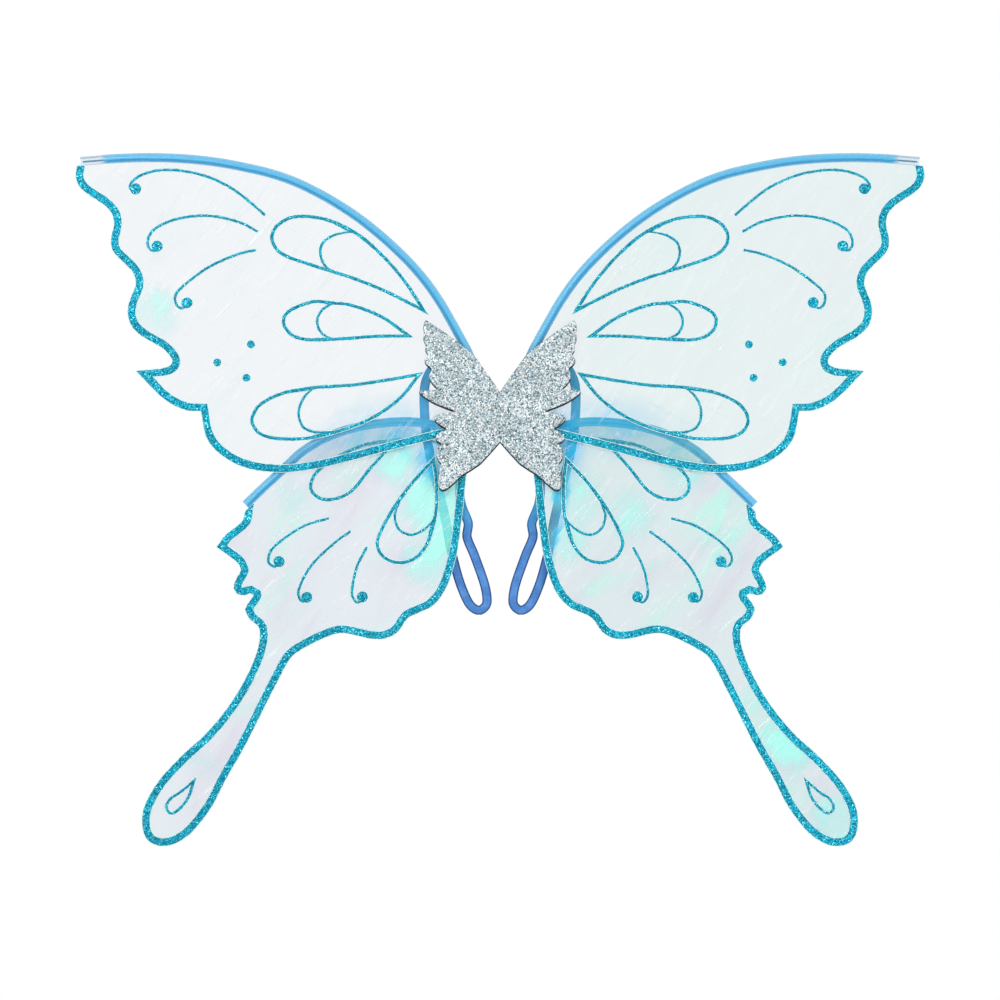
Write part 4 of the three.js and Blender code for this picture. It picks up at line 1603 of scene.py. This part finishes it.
class WINGS_OT_pad(bpy.types.Operator):
    """Add the back pad, the root patches and the centre binding"""

    bl_idname = "fairy_wings.pad"
    bl_label = "Pad, patches and binding"

    def execute(self, context):
        settings = context.scene.fairy_wings.pad
        felt = felt_material("Blue felt", settings.body, settings.shadow)
        white_felt = felt_material("White felt", colour(232, 238, 244), colour(196, 208, 222))
        thread = thread_material()
        add_back_pad(felt, thread, settings)
        add_binding(white_felt, thread)
        for word, side in SIDES.items():
            node = f"{word}_root_patch"
            low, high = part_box(node)
            loop = ragged(smooth(front_loops(node)[0], 1.8 * MM, closed=True), 0.3 * MM, 400)
            levels = slab_levels(low.y, high.y, 0.35 * MM)
            piece = raised(f"{node}_felt", [loop], side, levels, [white_felt], lift=no_lift)
            settle(piece, f"{word}_wing", "felt", node)
        return {"FINISHED"}


# ---- Arm loops ---------------------------------------------------------------------------------------


def webbing_section(half_width, half_thick):
    """A flat strip with rounded edges, as (across, depth) points."""
    points = []
    for k in range(5):
        a = -math.pi / 2 + math.pi * k / 4
        points.append((half_width - half_thick + half_thick * math.cos(a), half_thick * math.sin(a)))
    flats = (0.6, 0.2, -0.2, -0.6)
    points += [(half_width * f, half_thick) for f in flats]
    for k in range(5):
        a = math.pi / 2 + math.pi * k / 4
        points.append((-half_width + half_thick + half_thick * math.cos(a), half_thick * math.sin(a)))
    points += [(half_width * f, -half_thick) for f in flats[::-1]]
    return points


def ribbon(name, path, side, half_width, half_thick, material):
    """Webbing along a path of (outboard, depth, up), with its weave's directions stored."""
    section = webbing_section(half_width, half_thick)

    def ring(i):
        return [(reach, path[i].y + depth) for reach, depth in section]

    vertices, faces = swept(path, side, ring)
    count = len(section)
    faces += caps(0, len(vertices), count)
    travelled, along = 0.0, []
    for i, p in enumerate(path):
        travelled += (p - path[i - 1]).length if i else 0.0
        along += [travelled] * count
    piece = make_piece(name, vertices, faces, [material])
    store(piece, "across", [reach / half_width for _ in path for reach, _ in section])
    store(piece, "along", along)
    turn_outwards(piece)
    keep_edges(piece, 50)
    return piece


# The x between which the right arm loop's outer run turns from the light.
SHADED_RUN = (0.040, 0.048)


def shade_elastic(piece, settings):
    """Stores how far up the elastic each point is, which paints the film's cyan sheen on it, and how far it
    has turned from the light.
    """
    places = [vertex.co for vertex in piece.data.vertices]
    turn_from = settings.turn_from
    store(piece, "upper", [smoothstep(turn_from, turn_from + 0.05, p.z) for p in places])
    store(piece, "shaded", [0.8 * smoothstep(*SHADED_RUN, p.x) for p in places])


def add_strap(word, material, settings):
    side = SIDES[word]
    node = f"{word}_strap"
    loop = front_loops(node, facing=0.5)[0]
    start = max(loop, key=lambda p: p.z)
    one, other = strip_sides(loop, start)
    width = (one[0] - other[0]).length
    middle = [(a + b) / 2 for a, b in zip(one, other)]
    thick = 2 * abs(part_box(f"{word}_strap_tab_upper")[0].y - middle_depth(f"{word}_strap_tab_upper"))
    for p in middle:
        p.y += thick / 2
    path = spline(middle, 2.5 * MM)
    path = [path[0] + (path[0] - path[1]).normalized() * STRAP_OVERLAP] + path
    path.append(path[-1] + (path[-1] - path[-2]).normalized() * STRAP_OVERLAP)
    piece = ribbon(f"{node}_webbing", path, side, width / 2, thick / 2, material)
    shade_elastic(piece, settings)
    settle(piece, f"{word}_arm_loop", "blue_elastic", node)


def add_tab(node, material, thread, settings):
    """A sewn end of the strap, cut to the pad's edge and stitched across."""
    word = node.split("_")[0]
    side = SIDES[word]
    low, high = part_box(node)
    loop = front_loops(node)[0]
    outer_end = sorted(loop, key=lambda p: p.length)[-2:]
    across = (outer_end[0] - outer_end[1]).normalized()
    across.y = 0
    along = Vector((-across.z, 0, across.x))
    end_middle = (outer_end[0] + outer_end[1]) / 2
    if (end_middle + along * MM).length < end_middle.length:
        along = -along
    outline = subdivided(loop, 1.2 * MM)
    levels = slab_levels(low.y, high.y, 0.3 * MM)
    piece = raised(f"{node}_webbing", [outline], side, levels, [material], lift=no_lift)
    half_width = (outer_end[0] - outer_end[1]).length / 2
    across_values, along_values = [], []
    for vertex in piece.data.vertices:
        p = Vector((side * vertex.co.x, 0, vertex.co.z)) - Vector((end_middle.x, 0, end_middle.z))
        across_values.append(p.dot(across) / half_width)
        along_values.append(p.dot(along))
    store(piece, "across", across_values)
    store(piece, "along", along_values)
    shade_elastic(piece, settings)
    settle(piece, "hub", "blue_elastic", node)
    for row, back in enumerate((2.2 * MM, 3.8 * MM)):
        for label, face, outward in (("rear", high.y, 1), ("front", low.y, -1)):
            path = []
            for i in range(12):
                p = end_middle - along * back + across * half_width * mix(-0.8, 0.8, i / 11)
                path.append((Vector((side * p.x, face, p.z)), Vector((0, outward, 0))))
            name = f"{node}_stitch_{label}_{row + 1}"
            add_stitches(name, path, 1.5 * MM, 1.2 * MM, 0.22 * MM, thread, "blue_elastic")


class WINGS_OT_straps(bpy.types.Operator):
    """Add the elastic arm loops and their sewn ends"""

    bl_idname = "fairy_wings.straps"
    bl_label = "Arm loops"

    def execute(self, context):
        settings = context.scene.fairy_wings.elastic
        elastic = elastic_material(settings)
        thread = thread_material()
        for word in SIDES:
            add_strap(word, elastic, settings)
            for place in ("upper", "lower"):
                add_tab(f"{word}_strap_tab_{place}", elastic, thread, settings)
        return {"FINISHED"}


# ---- Panel and registration --------------------------------------------------------------------------

OPERATORS = (
    WINGS_OT_stage,
    WINGS_OT_sleeves,
    WINGS_OT_films,
    WINGS_OT_glitter,
    WINGS_OT_centrepiece,
    WINGS_OT_pad,
    WINGS_OT_straps,
)


class WINGS_PT_panel(bpy.types.Panel):
    """Settings and pieces of the fairy wings"""

    bl_idname = "WINGS_PT_panel"
    bl_label = "Fairy wings"
    bl_space_type = "VIEW_3D"
    bl_region_type = "UI"
    bl_category = "Fairy wings"

    def draw(self, context):
        settings = context.scene.fairy_wings
        for part in settings.bl_rna.properties.keys():
            if part in ("rna_type", "name"):
                continue
            box = self.layout.box()
            box.label(text=part.title())
            group = getattr(settings, part)
            for name in group.bl_rna.properties.keys():
                if name not in ("rna_type", "name"):
                    box.prop(group, name)
        for operator in OPERATORS:
            self.layout.operator(operator.bl_idname)


CLASSES = (
    FilmSettings,
    GlitterSettings,
    SilverSettings,
    SleeveSettings,
    ElasticSettings,
    PadSettings,
    StageSettings,
    WingsSettings,
    *OPERATORS,
    WINGS_PT_panel,
)


def register():
    for cls in CLASSES:
        bpy.utils.register_class(cls)
    bpy.types.Scene.fairy_wings = PointerProperty(type=WingsSettings)


def unregister():
    del bpy.types.Scene.fairy_wings
    for cls in reversed(CLASSES):
        bpy.utils.unregister_class(cls)


def main():
    register()
    for operator in OPERATORS:
        module, name = operator.bl_idname.split(".")
        getattr(getattr(bpy.ops, module), name)()


if __name__ == "__main__":
    main()
